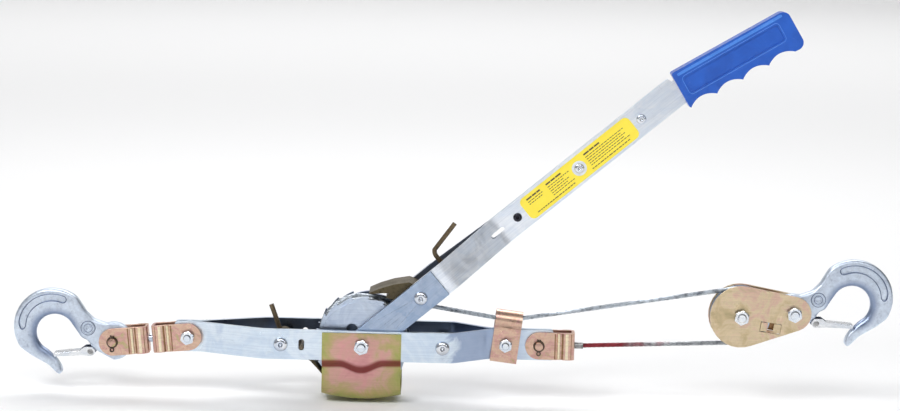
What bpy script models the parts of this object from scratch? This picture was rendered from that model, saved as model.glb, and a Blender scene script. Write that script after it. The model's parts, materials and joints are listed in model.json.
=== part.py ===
"""Come-along winch: a hand cable puller with a ratchet drum, a folding lever handle and two swivel hooks.

Lengths are millimetres about the drum's centre: X along the pull, Z up, -Y towards the viewer.
The finished meshes are metres, and the origin is the bowl of the anchor hook.
"""

from math import atan2, ceil, cos, degrees, pi, radians, sin, sqrt

import bmesh
import bpy
from mathutils import Matrix, Vector

MM = 0.001

# driving sizes
BAR = 31.75  # height of the frame bars and the handle straps
CABLE = 4.76
DRUM_AT = Vector((348.0, 0.0, 0.0))
HANDLE_TURN = radians(40.4)
CHAIN_TILT = radians(5.5)
HOOK_ROLL = radians(1.475)

# how the pieces are stacked outwards from the middle, as (inner, outer)
WINDING = 14.3
WHEEL = (14.6, 19.4)
STRAP = (20.5, 23.7)
DOUBLER = (24.0, 27.2)
FRAME = (27.8, 32.6)
GUARD = (32.9, 34.5)
NUT = (34.8, 41.0)
BAR_END = (1.5, 6.3)
EAR = (6.6, 9.8)
BLOCK_PLATE = (6.6, 9.6)
HOOK_HALF = 6.0
STRAP_END = (0.15, 3.35)

# frame
TAPER_LEFT = (-171.4, -105.0)
TAPER_RIGHT = (96.0, 134.3)
FRAME_LEFT = -200.0
FRAME_RIGHT = 202.8
RIVET_X = 85.0
RIVET_R = 3.2
DOME_R = 7.6
SLOT_X = -63.3
GUIDE_X = 151.7
FRAME_BOLT_X = -185.5
DEAD_END_X = 187.2

# drum
SHAFT_R = 4.76
BORE_R = 5.06
TEETH = 18
WHEEL_R = 50.6
TOOTH_DEPTH = 3.2
TOOTH_PHASE = radians(3.2)
CORE_R = 37.5
TURNS = 6

# handle, as distances along it from the shaft
PAWL_S = 80.0
LEVER_S = 118.0
DOUBLER_END = 106.0
SPLAY_END = 187.4
BEND_S = 424.0
GRIP_BEND = radians(-8.9)
BLACK_RIVET_S = 211.0
LABEL_S = 294.0
TOP_RIVET_S = 376.7

# brackets, block and hooks
PIN_TO_WEB = 38.0
EAR_R = 14.5
SHEET = 3.2
HOOK_PIN_R = 4.7
BLOCK_AXLE = (400.3, 37.1)
BLOCK_BOLT = (456.0, 41.5)
SHEAVE_R = 29.5
CHAIN_REACH = 80.4  # from the frame bolt to the anchor hook's pin
ANCHOR_EYE = (FRAME_BOLT_X - CHAIN_REACH * cos(CHAIN_TILT), -CHAIN_REACH * sin(CHAIN_TILT))


# ---- colours -------------------------------------------------------------------------------

LOOKS = {
    "zinc_steel": ((0.60, 0.63, 0.68), 0.35, 0.9),
    "gold_zinc": ((0.66, 0.55, 0.32), 0.35, 0.85),
    "forged_zinc": ((0.55, 0.58, 0.64), 0.45, 0.8),
    "brown_zinc": ((0.16, 0.12, 0.08), 0.45, 0.7),
    "black_rivet": ((0.03, 0.03, 0.04), 0.3, 0.6),
    "wire_rope": ((0.42, 0.44, 0.46), 0.45, 0.8),
    "red_rope": ((0.30, 0.04, 0.05), 0.5, 0.3),
    "blue_plastic": ((0.03, 0.13, 0.42), 0.4, 0.0),
    "yellow_label": ((0.95, 0.78, 0.03), 0.4, 0.0),
}


def look(name):
    """The Principled material of this name, made once."""
    made = bpy.data.materials.get(name)
    if made:
        return made
    colour, roughness, metallic = LOOKS[name]
    made = bpy.data.materials.new(name)
    made.use_nodes = True
    shader = made.node_tree.nodes["Principled BSDF"]
    shader.inputs["Base Color"].default_value = (*colour, 1.0)
    shader.inputs["Roughness"].default_value = roughness
    shader.inputs["Metallic"].default_value = metallic
    made.diffuse_color = (*colour, 1.0)
    return made


# ---- outlines in the X-Z plane -------------------------------------------------------------


def arc(centre, radius, start, end, step=15.0):
    """Points on an arc, its angles in degrees, at most step apart."""
    count = max(1, ceil(abs(end - start) / step))
    angles = [radians(start + (end - start) * i / count) for i in range(count + 1)]
    return [(centre[0] + radius * cos(a), centre[1] + radius * sin(a)) for a in angles]


def circle(centre, radius, sides=20):
    return arc(centre, radius, 0, 360, 360 / sides)[:-1]


def hexagon(centre, across_flats, turn=0.0):
    return [
        (
            centre[0] + across_flats / sqrt(3) * cos(radians(60 * i + turn)),
            centre[1] + across_flats / sqrt(3) * sin(radians(60 * i + turn)),
        )
        for i in range(6)
    ]


def slot(centre, width, length, turn=0.0):
    """A slot with round ends, its long way along turn."""
    half = length / 2 - width / 2
    ends = arc((half, 0), width / 2, -90, 90, 30) + arc((-half, 0), width / 2, 90, 270, 30)
    return turned_outline(ends, turn, centre)


def turned_outline(points, turn, place=(0.0, 0.0)):
    """The points turned anticlockwise, as the viewer sees it, and then moved."""
    c, s = cos(turn), sin(turn)
    return [(place[0] + x * c - z * s, place[1] + x * s + z * c) for x, z in points]


def mirrored(points):
    return [(-x, z) for x, z in points][::-1]


def on_handle(points):
    """Points given as (along, across) the handle, where they lie at rest."""
    return turned_outline(points, HANDLE_TURN)


# ---- solids --------------------------------------------------------------------------------


def ring(bm, outline, y):
    """One closed loop of edges at this depth."""
    verts = [bm.verts.new((x, y, z)) for x, z in outline]
    return [bm.edges.new(pair) for pair in zip(verts, verts[1:] + verts[:1])]


def fill(bm, edges):
    bmesh.ops.triangle_fill(bm, edges=edges, use_beauty=True, normal=(0, -1, 0))


def closed(bm):
    bmesh.ops.remove_doubles(bm, verts=bm.verts, dist=0.001)
    bmesh.ops.recalc_face_normals(bm, faces=bm.faces)
    return bm


def plate(outline, holes, y0, y1):
    """A flat plate between two depths, with holes through it."""
    bm = bmesh.new()
    edges = [edge for loop in (outline, *holes) for edge in ring(bm, loop, y0)]
    fill(bm, edges)
    made = bmesh.ops.extrude_face_region(bm, geom=bm.faces[:])
    moved = [v for v in made["geom"] if isinstance(v, bmesh.types.BMVert)]
    bmesh.ops.translate(bm, verts=moved, vec=(0, y1 - y0, 0))
    return closed(bm)


def stacked(sections):
    """Prisms end to end along Y, each given as (outline, y at its start, y at its end)."""
    bm = bmesh.new()
    last = []
    for outline, y0, y1 in sections:
        start, end = ring(bm, outline, y0), ring(bm, outline, y1)
        bmesh.ops.bridge_loops(bm, edges=start + end)
        fill(bm, last + start)
        last = end
    fill(bm, last)
    return closed(bm)


def spun(profile, at=(0.0, 0.0), steps=32, whole=True):
    """A profile of (radius, y) points spun about the Y line through at; whole closes it off the axis."""
    bm = bmesh.new()
    verts = [bm.verts.new((at[0] + r, y, at[1])) for r, y in profile]
    ends = verts[1:] + (verts[:1] if whole else [])
    edges = [bm.edges.new(pair) for pair in zip(verts, ends)]
    bmesh.ops.spin(
        bm, geom=verts + edges, cent=(at[0], 0, at[1]), axis=(0, 1, 0), angle=2 * pi, steps=steps, use_merge=True
    )
    bmesh.ops.remove_doubles(bm, verts=bm.verts, dist=0.01)
    return closed(bm)


def swept(path, radius, sides=10):
    """A round rod along a path of (x, y, z) points, with flat ends."""
    points = [Vector(p) for p in path]
    bm = bmesh.new()
    rings = []
    side = Vector((0, 1, 0))
    for i, point in enumerate(points):
        before = (point - points[max(i - 1, 0)]).normalized()
        after = (points[min(i + 1, len(points) - 1)] - point).normalized()
        along = (before + after).normalized()
        side = (side - along * side.dot(along)).normalized()
        up = along.cross(side)
        angles = [2 * pi * k / sides for k in range(sides)]
        rings.append([bm.verts.new(point + radius * (cos(a) * side + sin(a) * up)) for a in angles])
    for low, high in zip(rings, rings[1:]):
        for k in range(sides):
            n = (k + 1) % sides
            bm.faces.new((low[k], low[n], high[n], high[k]))
    bm.faces.new(rings[0])
    bm.faces.new(rings[-1])
    return closed(bm)


def bent(bm, origin, along, breaks, offset):
    """Cuts a flat plate across at each break and then shifts it in Y by offset(distance along)."""
    for d in breaks:
        geom = bm.verts[:] + bm.edges[:] + bm.faces[:]
        bmesh.ops.bisect_plane(bm, geom=geom, plane_co=origin + along * d, plane_no=along, dist=0.001)
    for v in bm.verts:
        v.co.y += offset((v.co - origin).dot(along))
    return closed(bm)


def between(value, low, high, at_low, at_high):
    """at_low up to low, at_high from high, and a straight line between them."""
    t = min(1.0, max(0.0, (value - low) / (high - low)))
    return at_low + (at_high - at_low) * t


def flipped(bm):
    """The same solid on the other side of the middle plane."""
    bmesh.ops.transform(bm, matrix=Matrix.Diagonal((1, -1, 1, 1)), verts=bm.verts)
    bmesh.ops.recalc_face_normals(bm, faces=bm.faces)
    return bm


# ---- objects -------------------------------------------------------------------------------

PIVOTS = {}


def pivot(name, x, z, parent=None):
    """An empty on a moving body's joint axis; its body's objects hang from it."""
    empty = bpy.data.objects.new(f"pivot_{name}", None)
    bpy.context.scene.collection.objects.link(empty)
    empty.empty_display_size = 0.02
    here = Vector((x, 0.0, z)) * MM + DRUM_AT * MM
    PIVOTS[name] = (empty, here)
    empty.location = here
    if parent:
        holder, there = PIVOTS[parent]
        empty.parent = holder
        empty.location = here - there
    return name


def node(name, bm, material, body, helper=False):
    """Makes the solid an object that hangs from its body's empty."""
    empty, here = PIVOTS[body]
    bm.transform(Matrix.Translation(DRUM_AT * MM - here) @ Matrix.Scale(MM, 4))
    mesh = bpy.data.meshes.new(name)
    bm.to_mesh(mesh)
    bm.free()
    made = bpy.data.objects.new(name, mesh)
    bpy.context.scene.collection.objects.link(made)
    made.data.materials.append(look(material))
    made.parent = empty
    if helper:
        made.hide_render = True
        made.display_type = "WIRE"
    return made


def combine(target, operation, bm, body, name):
    """Adds to, or cuts from, the target the shape in bm, which stays as a hidden helper."""
    tool = node(name, bm, "zinc_steel", body, helper=True)
    boolean = target.modifiers.new(name, "BOOLEAN")
    boolean.operation = operation
    boolean.solver = "EXACT"
    boolean.object = tool
    return target


def domed_rivet(centre, shank, dome, outer, height, sides=20):
    """A rivet through the whole stack, with a dimpled dome on each side."""
    half = [
        (shank, outer),
        (dome, outer),
        (dome * 0.96, outer + height * 0.45),
        (dome * 0.75, outer + height * 0.85),
        (dome * 0.42, outer + height),
        (dome * 0.22, outer + height * 0.55),
        (0.0, outer + height * 0.45),
    ]
    other = [(r, -y) for r, y in half]
    return spun(other[::-1] + half, centre, sides, whole=False)


def plain_pin(centre, radius, y0, y1, chamfer=0.5, sides=20):
    profile = [
        (0, y0),
        (radius - chamfer, y0),
        (radius, y0 + chamfer),
        (radius, y1 - chamfer),
        (radius - chamfer, y1),
        (0, y1),
    ]
    return spun(profile, centre, sides, whole=False)


def bolt(centre, radius, across_flats, head, end, turn=0.0):
    """A hexagon bolt with its head at the back: head is (inner, outer), end is where its thread stops."""
    return stacked(
        [
            (hexagon(centre, across_flats, turn), head[1], head[0]),
            (circle(centre, radius), head[0], -end),
        ]
    )


def nut(centre, bore, across_flats, inner, outer, turn=0.0):
    return plate(hexagon(centre, across_flats, turn), [circle(centre, bore)], -outer, -inner)


def headed_pin(centre, radius, reach):
    """A clevis pin with a flat round head at the back."""
    profile = [
        (0, -reach),
        (radius - 0.8, -reach),
        (radius, -reach + 0.8),
        (radius, reach - 3.0),
        (radius + 3.0, reach - 3.0),
        (radius + 3.0, reach - 0.4),
        (0, reach - 0.4),
    ]
    return spun(profile, centre, 20, whole=False)


def cotter(centre, pin_r, reach):
    """A split pin's ring in front of the ear, with its eye below and its legs opened above."""
    y = -reach + 2.6
    path = [(x, y, z) for x, z in arc(centre, pin_r + 1.5, -60, 240, 25)]
    tail = [(centre[0] - 3.0, y, centre[1] - pin_r - 4.0), (centre[0] - 0.6, y, centre[1] - pin_r - 7.2)]
    return swept(path + tail, 0.9, 8)


# ---- frame ---------------------------------------------------------------------------------


def frame_mid(x):
    """How far a frame bar's middle is from the centre plane, along its length."""
    wide = sum(FRAME) / 2
    narrow = sum(BAR_END) / 2
    if x < 0:
        return between(x, *TAPER_LEFT, narrow, wide)
    return between(x, *TAPER_RIGHT, wide, narrow)


def frame_bars():
    half = BAR / 2
    r = 3.0
    outline = (
        arc((FRAME_RIGHT - r, half - r), r, 90, 0, 45)
        + arc((FRAME_RIGHT - r, -half + r), r, 0, -90, 45)
        + arc((FRAME_LEFT + r, -half + r), r, 270, 180, 45)
        + arc((FRAME_LEFT + r, half - r), r, 180, 90, 45)
    )
    holes = [
        circle((0, 0), BORE_R),
        circle((-RIVET_X, 0), RIVET_R + 0.2),
        circle((RIVET_X, 0), RIVET_R + 0.2),
        slot((SLOT_X, 0), 6.0, 12.0, pi / 2),
        circle((GUIDE_X, 0), 4.2),
        circle((FRAME_BOLT_X, 0), 4.2),
        circle((DEAD_END_X, 0), 5.1),
    ]
    thick = FRAME[1] - FRAME[0]
    for side in ("rear", "front"):
        bm = plate(outline, holes, -thick / 2, thick / 2)
        breaks = (*TAPER_LEFT, *TAPER_RIGHT)
        bm = bent(bm, Vector((0, 0, 0)), Vector((1, 0, 0)), breaks, frame_mid)
        node(f"frame_bar_{side}", flipped(bm) if side == "front" else bm, "zinc_steel", "frame")


def frame_fasteners():
    for name, x in (("stop_pawl_rivet", -RIVET_X), ("spacer_rivet", RIVET_X)):
        node(name, domed_rivet((x, 0), RIVET_R, DOME_R, FRAME[1] + 0.2, 3.6), "zinc_steel", "frame")
    node("drum_shaft", bolt((0, 0), SHAFT_R, 14.3, NUT, NUT[1] + 3.0, 12), "zinc_steel", "frame")
    node("shaft_nut", nut((0, 0), SHAFT_R + 0.2, 14.3, *NUT, 18), "zinc_steel", "frame")
    node("spring_anchor_pin", plain_pin((SLOT_X, -3.2), 2.5, -FRAME[1], FRAME[1]), "zinc_steel", "frame")
    end = (EAR[1] + 0.3, EAR[1] + 6.0)
    place = (FRAME_BOLT_X, 0)
    node("frame_end_bolt", bolt(place, 3.97, 13.2, end, end[1] + 2.0, 5), "zinc_steel", "frame")
    node("frame_end_nut", nut(place, 4.15, 13.2, *end, 20), "zinc_steel", "frame")


def drum_guard():
    """A sheet wrapped under the drum from bar to bar, with a slanting step pressed across it."""
    half_width, top, low, foot = 41.6, 13.8, -52.7, -5.3
    step = (-15.8, -23.2)
    sides = [(GUARD[0], top), (GUARD[0], step[0]), (GUARD[0] - 6.0, step[1]), (GUARD[0] - 6.0, low + 6)]
    bottom = [(GUARD[0] - 12.0, low)]
    columns = [half_width * t for t in (-1.0, -0.8, -0.6, -0.3, 0.0, 0.3, 0.6, 0.8, 1.0)]
    bm = bmesh.new()
    rows = []
    for x in columns:
        dip = 1 - (x / half_width) ** 2
        half = [(y, z - (6.7 * dip if z in step else 0) + (foot * dip if z < -40 else 0)) for y, z in sides + bottom]
        whole = half + [(-y, z) for y, z in half[::-1]]
        rows.append([bm.verts.new((x, y, z)) for y, z in whole])
    for left, right in zip(rows, rows[1:]):
        for i in range(len(left) - 1):
            bm.faces.new((left[i], right[i], right[i + 1], left[i + 1]))
    made = thickened(bm, GUARD[1] - GUARD[0])
    guard = node("drum_guard", made, "gold_zinc", "frame")
    combine(guard, "DIFFERENCE", plain_pin((0, 0), BORE_R, -60, 60), "frame", "guard_bore")


def thickened(bm, thickness):
    """Gives a sheet its thickness outwards, away from the shape's middle, and closes its edges."""
    bmesh.ops.recalc_face_normals(bm, faces=bm.faces)
    middle = sum((f.calc_center_median() for f in bm.faces), Vector()) / len(bm.faces)
    outward = sum((f.calc_center_median() - middle).dot(f.normal) for f in bm.faces)
    if outward < 0:
        bmesh.ops.reverse_faces(bm, faces=bm.faces[:])
    bm.normal_update()
    bmesh.ops.solidify(bm, geom=bm.faces[:], thickness=-thickness)
    return closed(bm)


def cable_guide():
    """A strap bolted over both bars, pinched above them and curled into an eye round the cable."""
    width, thick, tilt = 28.5, 1.6, radians(-6.5)
    leaf, eye_r, eye_z = EAR[0] + 0.1, 9.2, 25.4
    pinch = [(leaf, -19.0), (leaf, 17.4)]
    curl = [(-eye_r * cos(radians(a)), eye_z + eye_r * sin(radians(a))) for a in range(-45, 226, 18)]
    line = [(-y, z) for y, z in pinch] + curl + [(y, z) for y, z in pinch[::-1]]
    bm = bmesh.new()
    rows = [[bm.verts.new((x, y, z)) for y, z in line] for x in (-width / 2, width / 2)]
    for i in range(len(line) - 1):
        bm.faces.new((rows[0][i], rows[0][i + 1], rows[1][i + 1], rows[1][i]))
    made = thickened(bm, thick)
    bmesh.ops.rotate(made, verts=made.verts, cent=(0, 0, 0), matrix=Matrix.Rotation(-tilt, 3, "Y"))
    bmesh.ops.translate(made, verts=made.verts, vec=(GUIDE_X, 0, 0))
    guide = node("cable_guide", made, "gold_zinc", "frame")
    combine(guide, "DIFFERENCE", plain_pin((GUIDE_X, 0), 4.2, -30, 30), "frame", "guide_bore")
    end = (leaf + thick + 0.6, leaf + thick + 6.0)
    node("guide_bolt", bolt((GUIDE_X, 0), 3.97, 12.7, end, end[1] + 2.0, 10), "zinc_steel", "frame")
    node("guide_nut", nut((GUIDE_X, 0), 4.15, 12.7, *end, 25), "zinc_steel", "frame")


# ---- drum ----------------------------------------------------------------------------------


def wheel_outline():
    """Ratchet teeth: a steep face that takes the pawl, then a ramp back down to the next one."""
    pitch = 2 * pi / TEETH
    points = []
    for tooth in range(TEETH):
        face = TOOTH_PHASE + tooth * pitch
        steps = [(0.0, WHEEL_R - TOOTH_DEPTH), (0.004, WHEEL_R)]
        steps += [(t * pitch, WHEEL_R - TOOTH_DEPTH * t) for t in (0.25, 0.5, 0.75)]
        points += [(r * cos(face + a), r * sin(face + a)) for a, r in steps]
    return points


def drum():
    holes = [circle((0, 0), BORE_R)] + [
        circle((19.0 * cos(radians(a)), 19.0 * sin(radians(a))), 6.0) for a in (126, 246, 6)
    ]
    node("ratchet_wheel_front", plate(wheel_outline(), holes, -WHEEL[1], -WHEEL[0]), "zinc_steel", "drum")
    node("ratchet_wheel_rear", plate(wheel_outline(), holes, *WHEEL), "zinc_steel", "drum")
    side = [(BORE_R, WINDING), (11.0, WINDING), (11.0, 2.0), (34.5, 2.0), (34.5, WINDING), (CORE_R, WINDING)]
    profile = side + [(r, -y) for r, y in side[::-1]]
    node("drum_core", spun(profile, steps=36), "zinc_steel", "drum")
    outer, inner = CORE_R + 0.3, CORE_R + 2 * CABLE - 0.7
    gap = 2 * (WINDING - 0.2) / TURNS
    wraps = [(inner, -WINDING + 0.2)]
    for turn in range(TURNS):
        start = -WINDING + 0.2 + turn * gap
        wraps += [(inner + 1.6, start + gap * 0.28), (inner + 1.6, start + gap * 0.72), (inner, start + gap)]
    profile = [(outer, WINDING - 0.2), (outer, -WINDING + 0.2)] + wraps
    node("cable_on_drum", spun(profile, steps=36), "wire_rope", "drum")


# ---- handle --------------------------------------------------------------------------------


def handle_mid(s):
    """How far a handle strap's middle is from the centre plane, along the handle."""
    return between(s, LEVER_S, SPLAY_END, sum(STRAP) / 2, sum(STRAP_END) / 2)


def past_bend(s, n):
    """A point beyond the handle's bend, given as if the handle were straight."""
    x, z = turned_outline([(s - BEND_S, n)], GRIP_BEND)[0]
    return (BEND_S + x, z)


def handle():
    half, tang = BAR / 2, 10.5
    upper = [(BEND_S, half), (BEND_S + 1.5, tang), past_bend(545, tang)]
    lower = [past_bend(545, -tang), (BEND_S + 1.5, -tang), (BEND_S, -half)]
    outline = on_handle(upper + lower + arc((0, 0), half, 270, 90, 15))
    rivets = (BLACK_RIVET_S, LABEL_S, TOP_RIVET_S)
    holes = [circle((0, 0), BORE_R), circle(on_handle([(PAWL_S, 0)])[0], RIVET_R + 0.2)]
    holes += [circle(on_handle([(s, 0)])[0], 2.9, 14) for s in rivets]
    holes += [slot(on_handle([(184.5, 0)])[0], 5.0, 17.0, HANDLE_TURN)]
    along = Vector((cos(HANDLE_TURN), 0, sin(HANDLE_TURN)))
    doubler = on_handle([(DOUBLER_END, half), *arc((0, 0), half, 90, 270, 15), (DOUBLER_END, -half)])
    thick = STRAP[1] - STRAP[0]
    for side in ("rear", "front"):
        bm = plate(outline, holes, -thick / 2, thick / 2)
        bm = bent(bm, Vector((0, 0, 0)), along, (LEVER_S, SPLAY_END), handle_mid)
        outer = plate(doubler, holes[:2], *DOUBLER)
        if side == "front":
            bm, outer = flipped(bm), flipped(outer)
        node(f"handle_strap_{side}", bm, "zinc_steel", "handle")
        node(f"handle_doubler_{side}", outer, "zinc_steel", "handle")


def handle_fasteners():
    place = on_handle([(PAWL_S, 0)])[0]
    # the handle's stroke keeps this rivet's domes above the frame bars
    rivet = domed_rivet(place, RIVET_R, 7.5, DOUBLER[1] + 0.2, 3.6)
    node("drive_pawl_rivet", rivet, "zinc_steel", "handle")
    for name, s, size, material in (
        ("lower_rivet", BLACK_RIVET_S, 4.7, "black_rivet"),
        ("middle_rivet", LABEL_S, 5.4, "zinc_steel"),
        ("upper_rivet", TOP_RIVET_S, 5.4, "zinc_steel"),
    ):
        place = on_handle([(s, 0)])[0]
        node(name, domed_rivet(place, 2.7, size, STRAP_END[1] + 0.2, 2.4, 16), material, "handle")
    length, height, corner = 145.0, 26.0, 6.0
    label = [
        point
        for sx, sz, start in ((1, 1, 0), (-1, 1, 90), (-1, -1, 180), (1, -1, 270))
        for point in arc(
            (LABEL_S + sx * (length / 2 - corner), sz * (height / 2 - corner)), corner, start, start + 90, 30
        )
    ]
    hole = circle(on_handle([(LABEL_S, 0)])[0], 8.0)
    front = (-STRAP_END[1] - 0.45, -STRAP_END[1] - 0.15)
    node("handle_label", plate(on_handle(label), [hole], *front), "yellow_label", "handle")


def grip():
    """A moulded grip round the straps' tang, deeper at its far end, with finger notches along its underside."""
    start, length, side = 427.0, 136.0, 10.0
    top, crest, deeper, notch = 19.3, -22.1, 3.2, 6.0
    pitch, notches, corner = 30.4, 4, 8.0
    end = start + length

    def underside(s):
        """The crests' line, less the notch at this distance along the grip."""
        t = (s - start - 1.3) / pitch
        cut = notch * abs(sin(pi * t)) ** 0.8 if 0 < t < notches else 0.0
        return crest - deeper * (s - start) / length + cut

    low = underside(end)
    outline = [(start, underside(start) + 1.5), (start, top - 2), (start + 2, top)]
    outline += arc((end - corner, top - 1.3 - corner), corner, 90, 0, 22.5)
    outline += arc((end - corner, low + corner), corner, 0, -90, 22.5)
    outline += [(start + 1.3 + pitch * k / 8, underside(start + 1.3 + pitch * k / 8)) for k in range(8 * notches, -1, -1)]
    bm = plate(on_handle([past_bend(s, n) for s, n in outline]), [], -side, side)
    rim = [
        e
        for e in bm.edges
        if abs(e.verts[0].co.y - e.verts[1].co.y) < 1
        and len({round(abs(f.normal.y)) for f in e.link_faces}) > 1
    ]
    bmesh.ops.bevel(bm, geom=rim, offset=1.8, segments=1, affect="EDGES", clamp_overlap=True)
    made = node("handle_grip", closed(bm), "blue_plastic", "handle")
    well = [(start - 9, 10.9), (552, 10.9), (552, -10.9), (start - 9, -10.9)]
    well = on_handle([past_bend(s, n) for s, n in well])
    combine(made, "DIFFERENCE", plate(well, [], -3.7, 3.7), "handle", "grip_well")


def drive_lever():
    """A bent rod whose cross pin turns between the straps."""
    root = (LEVER_S, 0.0)
    rod = [(LEVER_S, 1.5), (LEVER_S - 0.2, 22.0), (LEVER_S + 1.4, 27.2), (LEVER_S + 5.0, 30.2), (155.2, 36.1)]
    path = [(x, 0, z) for x, z in on_handle(rod)]
    lever = node("drive_lever", swept(path, 2.5, 12), "brown_zinc", "drive_lever")
    cross = plain_pin(on_handle([root])[0], 3.0, -STRAP[0] + 1.3, STRAP[0] - 1.3)
    combine(lever, "UNION", cross, "drive_lever", "lever_cross_pin")


# ---- pawls ---------------------------------------------------------------------------------

PAWL_HALF = 19.0
SPRING_GAP = 7.6


def pawl(name, outline, centre, body):
    """A pawl as wide as both ratchet wheels, with its hub split for the spring."""
    made = node(name, plate(outline, [], -PAWL_HALF, PAWL_HALF), "brown_zinc", body)
    hub = plate(circle(centre, 9.0, 24), [], -PAWL_HALF, PAWL_HALF)
    combine(made, "UNION", hub, body, f"{name}_hub")
    combine(made, "DIFFERENCE", plain_pin(centre, RIVET_R + 0.2, -30, 30), body, f"{name}_bore")
    gap = plate(circle(centre, 10.5, 24), [], -SPRING_GAP, SPRING_GAP)
    combine(made, "DIFFERENCE", gap, body, f"{name}_gap")
    return made


def coil(centre, radius, wire, half, turns, start, leg):
    """A torsion spring round a pivot, with one leg out along leg."""
    count = turns * 10
    path = []
    for i in range(count + 1):
        a = start + 2 * pi * i / 10
        y = -half + 2 * half * i / count
        path.append((centre[0] + radius * cos(a), y, centre[1] + radius * sin(a)))
    path.append((path[-1][0] + leg[0], half, path[-1][2] + leg[1]))
    return swept(path, wire / 2, 6)


def drive_pawl():
    centre = (PAWL_S, 0.0)
    shape = [
        (84.0, 4.0), (84.5, 12.0), (80.0, 20.0), (66.0, 28.2), (52.0, 34.0), (39.8, 37.4),
        (40.0, 36.3), (45.4, 31.8), (51.0, 28.2), (56.5, 23.6), (50.6, 22.4), (55.0, 16.4), (72.0, 3.0),
    ]  # fmt: skip
    made = on_handle([centre])[0]
    pawl("drive_pawl", on_handle(shape), made, "drive_pawl")
    leg = Vector((-1.6, 3.0))
    out = on_handle([tuple(leg)])[0]
    spring = coil(made, 4.9, 1.4, 6.2, 6, HANDLE_TURN + pi / 2, out)
    node("drive_pawl_spring", spring, "zinc_steel", "drive_pawl")


def stop_pawl():
    centre = (-RIVET_X, 0.0)
    shape = [
        (-79.0, 4.0), (-73.0, -3.8), (-61.0, -10.2), (-51.5, -17.8), (-45.2, -27.0), (-38.9, -35.0),
        (-40.6, -35.8), (-48.0, -27.2), (-55.0, -20.0), (-69.0, -13.4), (-84.0, -8.6),
    ]  # fmt: skip
    pawl("stop_pawl", shape, centre, "stop_pawl")
    foot, tip = Vector((-RIVET_X, 0.0)), Vector((-98.0, 36.0))
    way = (tip - foot).normalized()
    a, b = foot + way * 5.6, tip
    lever = swept([(a.x, 0, a.y), (b.x, 0, b.y)], 2.6, 12)
    made = node("stop_pawl_lever", lever, "brown_zinc", "stop_pawl")
    collar = plate(circle(centre, 7.2, 20), [], -2.6, 2.6)
    combine(made, "UNION", collar, "stop_pawl", "stop_lever_collar")
    combine(made, "DIFFERENCE", plain_pin(centre, RIVET_R + 0.2, -30, 30), "stop_pawl", "stop_lever_bore")
    spring = spun([(4.2, -7.2), (5.6, -7.2), (5.6, -3.0), (4.2, -3.0)], centre, 20)
    node("stop_pawl_spring", spring, "zinc_steel", "stop_pawl")


# ---- brackets ------------------------------------------------------------------------------


def bracket(name, pin, direction, body):
    """A ribbed sheet bent into a U: its ears hold the pin, and its web stands at PIN_TO_WEB along direction."""
    inner = EAR[0]
    web = PIN_TO_WEB
    rib = [(0.0, 0.0), (web - 19.5, 0.0), (web - 17.8, -1.0), (web - 13.4, -1.0), (web - 11.8, 0.9)]
    rib += [(web - 4.6, 0.9), (web - 3.2, 0.0)]
    ear = [(x, inner + SHEET + bump) for x, bump in rib]
    outer = [(-EAR_R, inner + SHEET)] + ear + [(web - 0.9, inner + SHEET - 0.9), (web, inner + SHEET - 3.4)]
    hollow = [(web - SHEET, inner - 0.6), (web - SHEET - 0.6, inner), (-EAR_R, inner)]
    half = outer + [(web, 0)]
    plan = half[:-1] + [(x, -y) for x, y in half[:-1][::-1]]
    plan += [(x, -y) for x, y in hollow[::-1]] + hollow
    bm = bmesh.new()
    verts = [bm.verts.new((x, y, -EAR_R)) for x, y in plan]
    edges = [bm.edges.new(pair) for pair in zip(verts, verts[1:] + verts[:1])]
    bmesh.ops.triangle_fill(bm, edges=edges, use_beauty=True, normal=(0, 0, 1))
    made = bmesh.ops.extrude_face_region(bm, geom=bm.faces[:])
    moved = [v for v in made["geom"] if isinstance(v, bmesh.types.BMVert)]
    bmesh.ops.translate(bm, verts=moved, vec=(0, 0, 2 * EAR_R))
    closed(bm)
    put = Matrix.Translation((pin[0], 0, pin[1])) @ Matrix.Rotation(-direction, 4, "Y")
    bm.transform(put)
    target = node(name, bm, "gold_zinc", body)
    # the ears' ends are rounded about the pin
    ends = [(-EAR_R - 5, -EAR_R - 5), (0.0, -EAR_R - 5)] + arc((0, 0), EAR_R, -90, -270, 12)
    ends += [(0.0, EAR_R + 5), (-EAR_R - 5, EAR_R + 5)]
    combine(target, "DIFFERENCE", plate(turned_outline(ends, direction, pin), [], -20, 20), body, f"{name}_round")
    combine(target, "DIFFERENCE", plain_pin(pin, HOOK_PIN_R + 0.3, -30, 30), body, f"{name}_bore")
    return target


def swivel_pivot():
    """Where the swivel rivet crosses the gap between the two anchor brackets."""
    reach = CHAIN_REACH / 2
    return (FRAME_BOLT_X - reach * cos(CHAIN_TILT), -reach * sin(CHAIN_TILT))


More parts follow.
